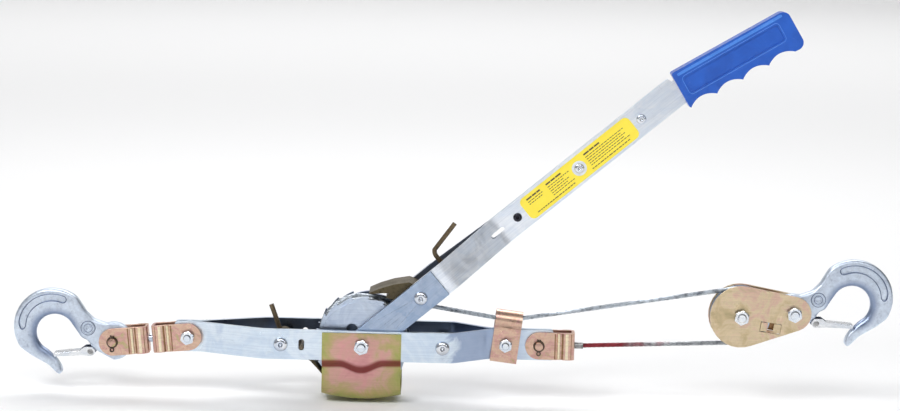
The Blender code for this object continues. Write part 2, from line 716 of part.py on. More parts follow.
def anchor_chain():
    direction = pi + CHAIN_TILT
    bolt_at = (FRAME_BOLT_X, 0.0)
    bracket("anchor_bracket", bolt_at, direction, "anchor_bracket")
    bracket("hook_bracket", ANCHOR_EYE, CHAIN_TILT, "anchor_clevis")
    middle = swivel_pivot()
    reach, head = CHAIN_REACH / 2 - PIN_TO_WEB + SHEET, 3.0
    profile = [
        (0, -reach - head), (3.6, -reach - head), (5.7, -reach - 0.3), (4.4, -reach - 0.3),
        (4.4, reach + 0.3), (5.7, reach + 0.3), (3.6, reach + head), (0, reach + head),
    ]  # fmt: skip
    bm = spun(profile, (0, 0), 20, whole=False)
    turn = Matrix.Rotation(-CHAIN_TILT, 4, "Y") @ Matrix.Rotation(-pi / 2, 4, "Z")
    bm.transform(Matrix.Translation((middle[0], 0, middle[1])) @ turn)
    node("swivel_rivet", closed(bm), "zinc_steel", "anchor_bracket")
    for name, body in (("anchor_bracket", "anchor_bracket"), ("hook_bracket", "anchor_clevis")):
        hole = spun([(0, -12), (4.7, -12), (4.7, 12), (0, 12)], (0, 0), 20, whole=False)
        hole.transform(Matrix.Translation((middle[0], 0, middle[1])) @ turn)
        combine(bpy.data.objects[name], "DIFFERENCE", closed(hole), body, f"{name}_swivel_hole")
    node("anchor_hook_pin", headed_pin(ANCHOR_EYE, HOOK_PIN_R, EAR[1] + 3.6), "zinc_steel", "anchor_clevis")
    node("anchor_hook_cotter", cotter(ANCHOR_EYE, HOOK_PIN_R, EAR[1] + 3.6), "zinc_steel", "anchor_clevis")


def dead_end():
    pin = (DEAD_END_X, 0.0)
    bracket("dead_end_bracket", pin, 0.0, "dead_end_clevis")
    node("dead_end_pin", headed_pin(pin, HOOK_PIN_R, EAR[1] + 3.6), "zinc_steel", "dead_end_clevis")
    node("dead_end_cotter", cotter(pin, HOOK_PIN_R, EAR[1] + 3.6), "zinc_steel", "dead_end_clevis")
    web = DEAD_END_X + PIN_TO_WEB
    stop = spun([(0, -7), (5.2, -7), (5.2, -0.3), (3.6, -0.3), (3.6, 12.5), (0, 12.5)], (0, 0), 16, whole=False)
    turn = Matrix.Rotation(-pi / 2, 4, "Z")
    stop.transform(Matrix.Translation((web - SHEET, 0, 0)) @ turn)
    stop = node("cable_stop", closed(stop), "zinc_steel", "dead_end_clevis")
    hole = spun([(0, -5), (3.9, -5), (3.9, 12), (0, 12)], (0, 0), 16, whole=False)
    hole.transform(Matrix.Translation((web - SHEET, 0, 0)) @ turn)
    combine(bpy.data.objects["dead_end_bracket"], "DIFFERENCE", closed(hole), "dead_end_clevis", "dead_end_hole")


# ---- hooks ---------------------------------------------------------------------------------


def hook_outline():
    """A slip hook with its eye at (0, 0), opening downwards at the far side of its throat."""
    outer = arc((0, 0), 20.2, 268, 70, 15)
    outer += [(20.2, 23.7), (28.1, 31.7), (35.0, 43.2)]
    outer += arc((64.0, 15.5), 41.4, 128, -32, 10)
    outer += [(88.0, -15.0), (70.1, -25.2), (60.3, -34.8), (57.6, -36.0), (55.2, -33.6)]
    inner = [(56.2, -27.5), (60.2, -20.2), (70.1, -9.8)]
    inner += arc((61.6, 8.8), 20.4, -48, 142, 12)
    inner += [(33.7, 3.7), (27.5, 1.4), (21.6, -7.6)]
    return outer + inner


def hook(name, eye, facing, body):
    """facing is +1 where the bowl is on the +X side of the eye."""
    shape = hook_outline() if facing > 0 else mirrored(hook_outline())
    shape = turned_outline(shape, HOOK_ROLL, eye)
    bm = plate(shape, [circle(eye, HOOK_PIN_R + 0.5, 24)], -HOOK_HALF, HOOK_HALF)
    rim = [
        e
        for e in bm.edges
        if len(e.link_faces) == 2
        and abs(e.verts[0].co.y - e.verts[1].co.y) < 0.1
        and min(abs(f.normal.y) for f in e.link_faces) < 0.5 < max(abs(f.normal.y) for f in e.link_faces)
        and (e.verts[0].co.xz - Vector(eye)).length > 8
    ]
    bmesh.ops.bevel(bm, geom=rim, offset=1.6, segments=1, affect="EDGES", clamp_overlap=True)
    return node(name, closed(bm), "forged_zinc", body)


LATCH_ROOT = (24.0, -10.4)


def latch_pivot(eye, facing):
    x, z = LATCH_ROOT
    return turned_outline([(facing * x, z)], HOOK_ROLL, eye)[0]


def latch(name, eye, facing, body):
    """A sheet gate across the throat: two cheeks either side of the hook, joined by a bar inside its tip."""
    root = LATCH_ROOT
    cheek = arc(root, 5.0, 100, 260, 20) + [(34.0, -14.6), (62.8, -16.0), (63.6, -12.4), (36.0, -9.6), (30.5, -5.6)]
    bar = [(35.5, -14.7), (62.8, -16.0), (63.6, -12.4), (37.0, -9.7)]
    if facing < 0:
        cheek, bar = mirrored(cheek), mirrored(bar)
    put = lambda points: turned_outline(points, HOOK_ROLL, eye)
    pivot_at = latch_pivot(eye, facing)
    inner, outer = HOOK_HALF + 0.3, HOOK_HALF + 1.9
    gate = node(name, plate(put(cheek), [], -outer, outer), "forged_zinc", body)
    room = [(12.0, -22.0), (35.4, -22.0), (35.4, 4.0), (12.0, 4.0)]
    if facing < 0:
        room = mirrored(room)
    combine(gate, "DIFFERENCE", plate(put(room), [], -inner, inner), body, f"{name}_room")
    return gate


# ---- load block ----------------------------------------------------------------------------


def block_outline():
    """The tangent outline round the sheave's end and the hook's end."""
    (ax, az), (bx, bz) = BLOCK_AXLE, BLOCK_BOLT
    big, small = 33.0, 18.5
    away = degrees(atan2(bz - az, bx - ax))
    lean = degrees(pi / 2 - sin_inverse((big - small) / sqrt((bx - ax) ** 2 + (bz - az) ** 2)))
    return arc((ax, az), big, away + lean, away + 360 - lean, 12) + arc(
        (bx, bz), small, away - lean, away + lean, 15
    )


def sin_inverse(value):
    return atan2(value, sqrt(1 - value * value))


def load_block():
    window = turned_outline([(-11, -5.5), (11, -5.5), (11, 5.5), (-11, 5.5)], radians(-8), (431.8, 26.0))
    holes = [circle(BLOCK_AXLE, 5.0), circle(BLOCK_BOLT, 5.0), window]
    node("block_plate_front", plate(block_outline(), holes, -BLOCK_PLATE[1], -BLOCK_PLATE[0]), "gold_zinc", "load_block")
    node("block_plate_rear", plate(block_outline(), holes, *BLOCK_PLATE), "gold_zinc", "load_block")
    end = (BLOCK_PLATE[1] + 0.3, BLOCK_PLATE[1] + 7.0)
    for name, place, turn in (("block_axle", BLOCK_AXLE, 8), ("block_hook_bolt", BLOCK_BOLT, 22)):
        node(name, bolt(place, SHAFT_R, 14.3, end, end[1] + 2.4, turn), "zinc_steel", "load_block")
        node(f"{name}_nut", nut(place, SHAFT_R + 0.2, 14.3, *end, turn + 15), "zinc_steel", "load_block")
    bottom, rim, half = SHEAVE_R - CABLE / 2 - 0.1, 31.6, 5.6
    groove = [(rim, half), (rim, 4.6), (bottom + 1.2, 2.4), (bottom, 1.2), (bottom, -1.2), (bottom + 1.2, -2.4)]
    groove += [(rim, -4.6), (rim, -half), (BORE_R, -half), (BORE_R, half)]
    node("sheave", spun(groove, BLOCK_AXLE, 36), "zinc_steel", "sheave")


# ---- cable ---------------------------------------------------------------------------------

WRAP_TOP = radians(99.6)
WRAP_BOTTOM = radians(-90.4)
DRUM_EXIT_R = CORE_R + CABLE * 1.5 + 0.6


def cables():
    lift = radians(97.0)
    leave = (DRUM_EXIT_R + 2.9) * cos(lift), (DRUM_EXIT_R + 2.9) * sin(lift)
    start = Vector((16.0, 0.0, leave[1] - 0.8))
    kink = Vector((156.0, 0.0, 25.6))
    top = Vector((BLOCK_AXLE[0] + SHEAVE_R * cos(WRAP_TOP), 0, BLOCK_AXLE[1] + SHEAVE_R * sin(WRAP_TOP)))
    low = Vector((BLOCK_AXLE[0] + SHEAVE_R * cos(WRAP_BOTTOM), 0, BLOCK_AXLE[1] + SHEAVE_R * sin(WRAP_BOTTOM)))
    stop = Vector((DEAD_END_X + PIN_TO_WEB - SHEET + 12.8, 0, 0))
    near = kink + (start - kink).normalized() * 9
    bend = [kink + Vector((x, 0, z)) for x, z in ((-5.0, 0.7), (0.0, 0.35), (5.0, 0.8))]
    far = kink + (top - kink).normalized() * 12
    node("cable_drum_to_guide", swept([start, near, *bend, far], CABLE / 2, 10), "wire_rope", "frame")
    node("cable_guide_to_block", swept([far + (top - far).normalized() * 0.3, top], CABLE / 2, 10), "wire_rope", "load_block")
    wrap = []
    for i in range(15):
        a = WRAP_TOP - (WRAP_TOP - WRAP_BOTTOM) * (i + 0.1) / 14.2
        wrap.append((BLOCK_AXLE[0] + SHEAVE_R * cos(a), 0, BLOCK_AXLE[1] + SHEAVE_R * sin(a)))
    node("cable_on_sheave", swept(wrap, CABLE / 2 - 0.15, 10), "wire_rope", "load_block")
    node("cable_block_to_anchor", swept([low, stop], CABLE / 2, 10), "red_rope", "load_block")


# ---- the whole -----------------------------------------------------------------------------


def clear_scene():
    for old in list(bpy.data.objects):
        bpy.data.objects.remove(old, do_unlink=True)


def place_pivots():
    pawl_at = on_handle([(PAWL_S, 0)])[0]
    lever_at = on_handle([(LEVER_S, 0)])[0]
    middle = swivel_pivot()
    pivot("frame", 0, 0)
    pivot("drum", 0, 0, "frame")
    pivot("handle", 0, 0, "frame")
    pivot("drive_pawl", *pawl_at, "handle")
    pivot("drive_lever", *lever_at, "handle")
    pivot("stop_pawl", -RIVET_X, 0, "frame")
    pivot("anchor_bracket", FRAME_BOLT_X, 0, "frame")
    pivot("anchor_clevis", *middle, "anchor_bracket")
    pivot("anchor_hook", *ANCHOR_EYE, "anchor_clevis")
    pivot("anchor_latch", *latch_pivot(ANCHOR_EYE, -1), "anchor_hook")
    pivot("dead_end_clevis", DEAD_END_X, 0, "frame")
    pivot("load_block", *BLOCK_AXLE, "frame")
    pivot("sheave", *BLOCK_AXLE, "load_block")
    pivot("load_hook", *BLOCK_BOLT, "load_block")
    pivot("load_latch", *latch_pivot(BLOCK_BOLT, 1), "load_hook")


def main():
    clear_scene()
    place_pivots()
    frame_bars()
    frame_fasteners()
    drum_guard()
    cable_guide()
    drum()
    handle()
    handle_fasteners()
    grip()
    drive_lever()
    drive_pawl()
    stop_pawl()
    anchor_chain()
    dead_end()
    hook("anchor_hook", ANCHOR_EYE, -1, "anchor_hook")
    latch("anchor_latch", ANCHOR_EYE, -1, "anchor_latch")
    load_block()
    hook("load_hook", BLOCK_BOLT, 1, "load_hook")
    latch("load_latch", BLOCK_BOLT, 1, "load_latch")
    cables()


main()
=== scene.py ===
"""Looks for the come-along winch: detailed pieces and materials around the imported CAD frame.

Lengths are millimetres about the drum's centre, as in the CAD source: X along the pull, Z up and
-Y towards the viewer. piece() turns them into metres in the row frame.
"""

import json
import random
from math import atan2, ceil, cos, degrees, pi, radians, sin, sqrt

import bmesh
import bpy
from mathutils import Matrix, Vector, noise

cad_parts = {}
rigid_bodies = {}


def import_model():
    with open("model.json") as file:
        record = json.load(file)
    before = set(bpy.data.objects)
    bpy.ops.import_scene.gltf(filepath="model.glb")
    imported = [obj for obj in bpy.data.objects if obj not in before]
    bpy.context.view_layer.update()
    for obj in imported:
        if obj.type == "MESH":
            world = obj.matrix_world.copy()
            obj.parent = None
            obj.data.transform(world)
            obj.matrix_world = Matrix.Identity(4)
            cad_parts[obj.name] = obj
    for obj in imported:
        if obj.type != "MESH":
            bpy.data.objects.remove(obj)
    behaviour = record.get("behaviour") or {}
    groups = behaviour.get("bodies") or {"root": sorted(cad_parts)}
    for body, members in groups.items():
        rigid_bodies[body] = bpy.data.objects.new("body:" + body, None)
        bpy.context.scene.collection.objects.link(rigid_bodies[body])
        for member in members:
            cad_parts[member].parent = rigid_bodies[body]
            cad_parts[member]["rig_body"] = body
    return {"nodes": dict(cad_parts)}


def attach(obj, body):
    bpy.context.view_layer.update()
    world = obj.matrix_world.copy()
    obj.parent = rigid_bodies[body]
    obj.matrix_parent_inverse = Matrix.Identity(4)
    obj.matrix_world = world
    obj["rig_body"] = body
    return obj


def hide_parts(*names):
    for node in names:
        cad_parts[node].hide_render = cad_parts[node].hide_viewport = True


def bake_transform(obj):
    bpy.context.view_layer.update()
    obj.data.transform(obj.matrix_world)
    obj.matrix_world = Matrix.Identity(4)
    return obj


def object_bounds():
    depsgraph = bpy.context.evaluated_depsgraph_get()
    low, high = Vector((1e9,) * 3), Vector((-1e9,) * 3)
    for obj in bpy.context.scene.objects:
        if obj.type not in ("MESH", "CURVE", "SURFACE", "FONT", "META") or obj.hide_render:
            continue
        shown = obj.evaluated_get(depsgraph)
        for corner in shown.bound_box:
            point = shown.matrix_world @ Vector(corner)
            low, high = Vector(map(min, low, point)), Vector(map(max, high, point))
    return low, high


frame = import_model()
CAD_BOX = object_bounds()

MM = 0.001
DRUM_AT = Vector((0.348, 0.0, 0.0))

# sizes shared with the CAD
BAR = 31.75
CABLE = 4.76
HANDLE_TURN = radians(40.4)
CHAIN_TILT = radians(5.5)
HOOK_ROLL = radians(1.475)
STRAP = (20.5, 23.7)
DOUBLER = (24.0, 27.2)
FRAME = (27.8, 32.6)
GUARD = (32.9, 34.5)
NUT = (34.8, 41.0)
BAR_END = (1.5, 6.3)
EAR = (6.6, 9.8)
EAR_R = 14.5
BLOCK_PLATE = (6.6, 9.6)
STRAP_END = (0.15, 3.35)
TAPER_LEFT = (-171.4, -105.0)
TAPER_RIGHT = (96.0, 134.3)
FRAME_LEFT = -200.0
FRAME_RIGHT = 202.8
RIVET_X = 85.0
SLOT_X = -63.3
GUIDE_X = 151.7
FRAME_BOLT_X = -185.5
DEAD_END_X = 187.2
PIN_TO_WEB = 38.0
SHAFT_R = 4.76
BORE_R = 5.06
CORE_R = 37.5
WINDING = 14.3
PAWL_S = 80.0
LEVER_S = 118.0
DOUBLER_END = 106.0
SPLAY_END = 187.4
BEND_S = 424.0
GRIP_BEND = radians(-8.9)
BLACK_RIVET_S = 211.0
LABEL_S = 294.0
TOP_RIVET_S = 376.7
BLOCK_AXLE = (400.3, 37.1)
BLOCK_BOLT = (456.0, 41.5)
SHEAVE_R = 29.5
CHAIN_REACH = 80.4
ANCHOR_EYE = (FRAME_BOLT_X - CHAIN_REACH * cos(CHAIN_TILT), -CHAIN_REACH * sin(CHAIN_TILT))


# ---- outlines in the X-Z plane -------------------------------------------------------------


def arc(centre, radius, start, end, step=6.0):
    """Points on an arc, its angles in degrees, at most step apart."""
    count = max(1, ceil(abs(end - start) / step))
    angles = [radians(start + (end - start) * i / count) for i in range(count + 1)]
    return [(centre[0] + radius * cos(a), centre[1] + radius * sin(a)) for a in angles]


def circle(centre, radius, sides=40):
    return arc(centre, radius, 0, 360, 360 / sides)[:-1]


def turned(points, turn, place=(0.0, 0.0)):
    """The points turned anticlockwise, as the viewer sees it, and then moved."""
    c, s = cos(turn), sin(turn)
    return [(place[0] + x * c - z * s, place[1] + x * s + z * c) for x, z in points]


def mirrored(points):
    return [(-x, z) for x, z in points][::-1]


def slot_outline(centre, width, length, turn=0.0):
    half = length / 2 - width / 2
    ends = arc((half, 0), width / 2, -90, 90, 15) + arc((-half, 0), width / 2, 90, 270, 15)
    return turned(ends, turn, centre)


def on_handle(points):
    """Points given as (along, across) the handle, where they lie at rest."""
    return turned(points, HANDLE_TURN)


def past_bend(s, n):
    """A point beyond the handle's bend, given as if the handle were straight."""
    x, z = turned([(s - BEND_S, n)], GRIP_BEND)[0]
    return (BEND_S + x, z)


# ---- meshes --------------------------------------------------------------------------------


def tidy(bm):
    bmesh.ops.remove_doubles(bm, verts=bm.verts, dist=0.0005)
    bmesh.ops.recalc_face_normals(bm, faces=bm.faces)
    return bm


def plate(outline, holes, y0, y1):
    """A flat plate between two depths, with holes through it."""
    bm = bmesh.new()
    edges = []
    for loop in (outline, *holes):
        verts = [bm.verts.new((x, y0, z)) for x, z in loop]
        edges += [bm.edges.new(pair) for pair in zip(verts, verts[1:] + verts[:1])]
    bmesh.ops.triangle_fill(bm, edges=edges, use_beauty=True, normal=(0, -1, 0))
    made = bmesh.ops.extrude_face_region(bm, geom=bm.faces[:])
    moved = [v for v in made["geom"] if isinstance(v, bmesh.types.BMVert)]
    bmesh.ops.translate(bm, verts=moved, vec=(0, y1 - y0, 0))
    return tidy(bm)


def spun(profile, at=(0.0, 0.0), steps=48, whole=False):
    """A profile of (radius, y) points spun about the Y line through at; whole closes it off the axis."""
    bm = bmesh.new()
    verts = [bm.verts.new((at[0] + r, y, at[1])) for r, y in profile]
    ends = verts[1:] + (verts[:1] if whole else [])
    edges = [bm.edges.new(pair) for pair in zip(verts, ends)]
    bmesh.ops.spin(
        bm, geom=verts + edges, cent=(at[0], 0, at[1]), axis=(0, 1, 0), angle=2 * pi, steps=steps, use_merge=True
    )
    return tidy(bm)


def tube(path, radius, sides=12, bm=None, closed=False):
    """A round rod along (x, y, z) points; radius is a number, or one for each point."""
    points = [Vector(p) for p in path]
    radii = radius if isinstance(radius, list) else [radius] * len(points)
    bm = bm or bmesh.new()
    rings = []
    side = Vector((0, 1, 0.01)).normalized()
    last = len(points) - 1
    for i, point in enumerate(points):
        low = points[i - 1] if i or closed else point
        high = points[(i + 1) % len(points)] if i < last or closed else point
        along = ((point - low).normalized() + (high - point).normalized()).normalized()
        side = (side - along * side.dot(along)).normalized()
        up = along.cross(side)
        angles = [2 * pi * k / sides for k in range(sides)]
        rings.append([bm.verts.new(point + radii[i] * (cos(a) * side + sin(a) * up)) for a in angles])
    pairs = list(zip(rings, rings[1:])) + ([(rings[-1], rings[0])] if closed else [])
    for low, high in pairs:
        for k in range(sides):
            n = (k + 1) % sides
            bm.faces.new((low[k], low[n], high[n], high[k]))
    if not closed:
        bm.faces.new(rings[0][::-1])
        bm.faces.new(rings[-1])
    return bm


def bent(bm, origin, along, breaks, offset):
    """Cuts a plate across at each break and then shifts it in Y by offset(distance along)."""
    for d in breaks:
        geom = bm.verts[:] + bm.edges[:] + bm.faces[:]
        bmesh.ops.bisect_plane(bm, geom=geom, plane_co=origin + along * d, plane_no=along, dist=0.001)
    for v in bm.verts:
        v.co.y += offset((v.co - origin).dot(along))
    return tidy(bm)


def eased(value, low, high, at_low, at_high, soft):
    """at_low up to low, at_high from high, straight between them, with corners rounded over soft."""

    def ramp(v):
        """The integral of a step that rises over soft: 0 well below v = 0, v well above it."""
        if v <= -soft:
            return 0.0
        if v >= soft:
            return v
        return (v + soft) ** 2 / (4 * soft)

    slope = (at_high - at_low) / (high - low)
    return at_low + slope * (ramp(value - low) - ramp(value - high))


def round_breaks(places, soft, cuts=6):
    return [p - soft + 2 * soft * i / cuts for p in places for i in range(cuts + 1)]


def flipped(bm):
    """The same solid on the other side of the middle plane."""
    bmesh.ops.transform(bm, matrix=Matrix.Diagonal((1, -1, 1, 1)), verts=bm.verts)
    bmesh.ops.recalc_face_normals(bm, faces=bm.faces)
    return bm


def joined(*parts):
    """Several meshes as one."""
    whole = bmesh.new()
    for bm in parts:
        mesh = bpy.data.meshes.new("part")
        bm.to_mesh(mesh)
        bm.free()
        whole.from_mesh(mesh)
        bpy.data.meshes.remove(mesh)
    return whole


# ---- pieces --------------------------------------------------------------------------------


def to_world(mesh):
    mesh.transform(Matrix.Translation(DRUM_AT) @ Matrix.Scale(MM, 4))


def bare(name, bm):
    """An object from a mesh in millimetres about the drum."""
    mesh = bpy.data.meshes.new(name)
    bm.to_mesh(mesh)
    bm.free()
    to_world(mesh)
    made = bpy.data.objects.new(name, mesh)
    bpy.context.scene.collection.objects.link(made)
    return made


def soften(obj, width, segments=2, limit=24.0):
    """Rounds the sharp edges and shades the rest smooth."""
    for poly in obj.data.polygons:
        poly.use_smooth = True
    if width:
        bevel = obj.modifiers.new("edges", "BEVEL")
        bevel.width = width * MM
        bevel.segments = segments
        bevel.limit_method = "ANGLE"
        bevel.angle_limit = radians(limit)
        bevel.harden_normals = True
        bevel.miter_outer = "MITER_ARC"
    return obj


def creased(obj, angle=30.0):
    """Shades smooth, with a crease where two faces meet at more than angle."""
    bm = bmesh.new()
    bm.from_mesh(obj.data)
    for edge in bm.edges:
        edge.smooth = len(edge.link_faces) == 2 and edge.calc_face_angle(0) < radians(angle)
    for face in bm.faces:
        face.smooth = True
    bm.to_mesh(obj.data)
    bm.free()
    return obj


def piece(name, bm, material, body, replaces=(), width=0.3, segments=2, limit=24.0, slot=None, place=True):
    """Makes the mesh a piece that rides on a CAD body and stands for some of its nodes."""
    made = bare(name, bm)
    if width:
        soften(made, width, segments, limit)
    else:
        creased(made)
    made.data.materials.append(look(material))
    if place:
        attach(made, body)
    if replaces:
        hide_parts(*([replaces] if isinstance(replaces, str) else replaces))
    slot or SLOT_OF[material]
    return made


def cut(target, bm, operation="DIFFERENCE"):
    """Booleans the shape in bm out of, or into, the target now, before its other modifiers."""
    tool = bare("tool", bm)
    boolean = target.modifiers.new("cut", "BOOLEAN")
    boolean.operation = operation
    boolean.solver = "EXACT"
    boolean.object = tool
    while target.modifiers[0] != boolean:
        bpy.context.view_layer.objects.active = target
        with bpy.context.temp_override(object=target, active_object=target):
            bpy.ops.object.modifier_move_up(modifier="cut")
    with bpy.context.temp_override(object=target, active_object=target):
        bpy.ops.object.modifier_apply(modifier="cut")
    bpy.data.objects.remove(tool, do_unlink=True)
    for poly in target.data.polygons:
        poly.use_smooth = True
    return target


def dressed(node, material, width=0.25, segments=2, limit=24.0):
    """Gives a CAD node its finish: rounded edges and a detailed material."""
    obj = frame["nodes"][node]
    custom = obj.data.attributes.get("custom_normal")
    if custom:
        obj.data.attributes.remove(custom)
    weld = obj.modifiers.new("weld", "WELD")
    weld.merge_threshold = 0.000002
    soften(obj, width, segments, limit)
    obj.data.materials.clear()
    obj.data.materials.append(look(material))
    return obj


# ---- materials -----------------------------------------------------------------------------

SLOT_OF = {
    "zinc": "zinc_steel",
    "strap_zinc": "zinc_steel",
    "doubler_zinc": "zinc_steel",
    "nut_zinc": "zinc_steel",
    "rivet_zinc": "zinc_steel",
    "wheel_steel": "zinc_steel",
    "spring_wire": "zinc_steel",
    "cotter_wire": "zinc_steel",
    "gold": "gold_zinc",
    "gold_shade": "gold_zinc",
    "gold_light": "gold_zinc",
    "guard_gold": "gold_zinc",
    "block_gold": "gold_zinc",
    "forged": "forged_zinc",
    "forged_shade": "forged_zinc",
    "latch_zinc": "forged_zinc",
    "pawl_brown": "brown_zinc",
    "lever_brown": "brown_zinc",
    "black": "black_rivet",
    "rope": "wire_rope",
    "rope_red": "red_rope",
    "blue": "blue_plastic",
    "blue_mark": "blue_plastic",
    "label": "yellow_label",
    "label_ink": "yellow_label",
}


class Tree:
    """A small helper for wiring one material's nodes."""

    def __init__(self, name):
        self.material = bpy.data.materials.new(name)
        self.material.use_nodes = True
        self.tree = self.material.node_tree
        self.shader = self.tree.nodes["Principled BSDF"]
        coords = self.tree.nodes.new("ShaderNodeTexCoord")
        self.place = coords.outputs["Object"]
        self.normal = coords.outputs["Normal"]

    def add(self, kind, **inputs):
        made = self.tree.nodes.new(kind)
        for key, value in inputs.items():
            self.feed(made.inputs[key.replace("_", " ")], value)
        return made

    def feed(self, socket, value):
        if isinstance(value, bpy.types.NodeSocket):
            self.tree.links.new(value, socket)
        else:
            socket.default_value = value

    def scaled(self, x, y, z, turn=0.0):
        level = self.add("ShaderNodeMapping", Vector=self.place)
        level.inputs["Rotation"].default_value = (0.0, turn, 0.0)
        return self.add("ShaderNodeMapping", Vector=level.outputs["Vector"], Scale=(x, y, z)).outputs["Vector"]

    def noise(self, scale, detail=4.0, rough=0.6, vector=None, warp=0.0):
        made = self.add("ShaderNodeTexNoise", Vector=vector or self.place, Scale=scale, Detail=detail)
        made.inputs["Roughness"].default_value = rough
        made.inputs["Distortion"].default_value = warp
        return made.outputs["Fac"]

    def ramp(self, fac, stops):
        """Colours by position: stops are (place, (r, g, b))."""
        made = self.add("ShaderNodeValToRGB", Fac=fac)
        ramp = made.color_ramp
        while len(ramp.elements) < len(stops):
            ramp.elements.new(0.5)
        for element, (place, colour) in zip(ramp.elements, stops):
            element.position = place
            element.color = (*colour, 1.0)
        return made.outputs["Color"]

    def span(self, fac, low, high, at_low, at_high):
        made = self.add("ShaderNodeMapRange", Value=fac)
        for key, value in (("From Min", low), ("From Max", high), ("To Min", at_low), ("To Max", at_high)):
            made.inputs[key].default_value = value
        return made.outputs["Result"]

    def mix(self, fac, a, b, blend="MIX"):
        made = self.tree.nodes.new("ShaderNodeMix")
        made.data_type = "RGBA"
        made.blend_type = blend
        self.feed(made.inputs[0], fac)
        for socket, value in ((made.inputs[6], a), (made.inputs[7], b)):
            self.feed(socket, (*value, 1.0) if isinstance(value, tuple) else value)
        return made.outputs[2]

    def math(self, operation, a, b=0.0):
        made = self.tree.nodes.new("ShaderNodeMath")
        made.operation = operation
        self.feed(made.inputs[0], a)
        self.feed(made.inputs[1], b)
        return made.outputs[0]

    def vector(self, operation, a, b):
        made = self.tree.nodes.new("ShaderNodeVectorMath")
        made.operation = operation
        self.feed(made.inputs[0], a)
        self.feed(made.inputs[1], b)
        return made

    def bump(self, height, strength, distance, under=None):
        made = self.add("ShaderNodeBump", Height=height, Strength=strength, Distance=distance)
        if under:
            self.feed(made.inputs["Normal"], under)
        return made.outputs["Normal"]

    def set(self, **inputs):
        for key, value in inputs.items():
            name = key.replace("_", " ")
            if isinstance(value, tuple):
                value = (*value, 1.0)
            self.feed(self.shader.inputs[name], value)
        return self


def sheet_metal(name, stops, rough=(0.24, 0.42), blotch=45.0, streak=(60.0, 60.0, 900.0), turn=0.0, warp=1.2, grain=0.1):
    """Plated sheet: soft blotches of tint, fine rolling streaks, and a little orange peel."""
    t = Tree(name)
    tint = t.noise(blotch, 5.0, 0.62, warp=warp)
    colour = t.ramp(tint, stops)
    streaks = t.noise(1.0, 3.0, 0.7, t.scaled(*streak, turn))
    colour = t.mix(0.28, colour, t.ramp(streaks, [(0.3, (0.45, 0.46, 0.48)), (0.7, (1, 1, 1))]), "MULTIPLY")
    specks = t.noise(1400.0, 2.0, 0.5)
    colour = t.mix(t.span(specks, 0.66, 0.74, 0.0, 0.35), colour, (0.20, 0.19, 0.18))
    rub = t.noise(170.0, 6.0, 0.7, warp=0.6)
    t.set(Base_Color=colour, Metallic=1.0, Roughness=t.span(rub, 0.3, 0.7, *rough))
    peel = t.bump(t.noise(520.0, 3.0), grain, 0.0003)
    t.feed(t.shader.inputs["Normal"], t.bump(streaks, grain * 0.8, 0.0002, peel))
    return t.material


def spangled(name, bright, blue, dull, rough=(0.18, 0.38), turn=0.0, taper=None):
    """Bright zinc plate: pale bluish crystals, faint streaks along the stock, grey rub marks, and painted shade on
    faces turned towards the middle plane and, where given, along a tapered stretch.
    """
    t = Tree(name)
    parts = t.add("ShaderNodeSeparateXYZ", Vector=t.place)
    crystals = t.add("ShaderNodeTexVoronoi", Vector=t.place, Scale=240.0)
    crystals.inputs["Randomness"].default_value = 1.0
    tone = t.add("ShaderNodeSeparateColor", Color=crystals.outputs["Color"]).outputs[0]
    cloud = t.noise(26.0, 6.0, 0.6, warp=0.8)
    colour = t.ramp(cloud, [(0.25, dull), (0.45, bright), (0.58, blue), (0.72, bright)])
    colour = t.mix(t.span(tone, 0.0, 1.0, 0.0, 0.10), colour, (1.0, 1.0, 1.0))
    streaks = t.noise(1.0, 4.0, 0.65, t.scaled(18.0, 60.0, 700.0, turn))
    colour = t.mix(0.30, colour, t.ramp(streaks, [(0.32, (0.55, 0.60, 0.68)), (0.6, (1, 1, 1))]), "MULTIPLY")
    smudge = t.noise(70.0, 5.0, 0.7, warp=0.9)
    colour = t.mix(t.span(smudge, 0.62, 0.78, 0.0, 0.35), colour, (0.30, 0.34, 0.42))
    # painted shade: a tapered stretch of the bars, turned away from the light, is darkened towards dull blue
    if taper:
        along = t.math("ADD", parts.outputs["X"], t.span(cloud, 0.3, 0.7, -0.012, 0.012))
        shade = t.math("MULTIPLY", t.span(along, *taper[:2], 0.0, 0.75), t.span(along, *taper[2:], 1.0, 0.0))
        colour = t.mix(shade, colour, (0.26, 0.34, 0.52))
    # painted shade: faces turned towards the middle plane, between the paired plates, are darkened towards dark navy
    facing = t.math("MULTIPLY", parts.outputs["Y"], t.add("ShaderNodeSeparateXYZ", Vector=t.normal).outputs["Y"])
    colour = t.mix(t.span(facing, -0.005, -0.002, 0.82, 0.0), colour, (0.05, 0.07, 0.13))
    t.set(Base_Color=colour, Metallic=1.0, Roughness=t.span(smudge, 0.3, 0.75, *rough))
    fine = t.bump(t.noise(700.0, 2.0), 0.08, 0.0002)
    t.feed(t.shader.inputs["Normal"], t.bump(streaks, 0.10, 0.0002, fine))
    return t.material


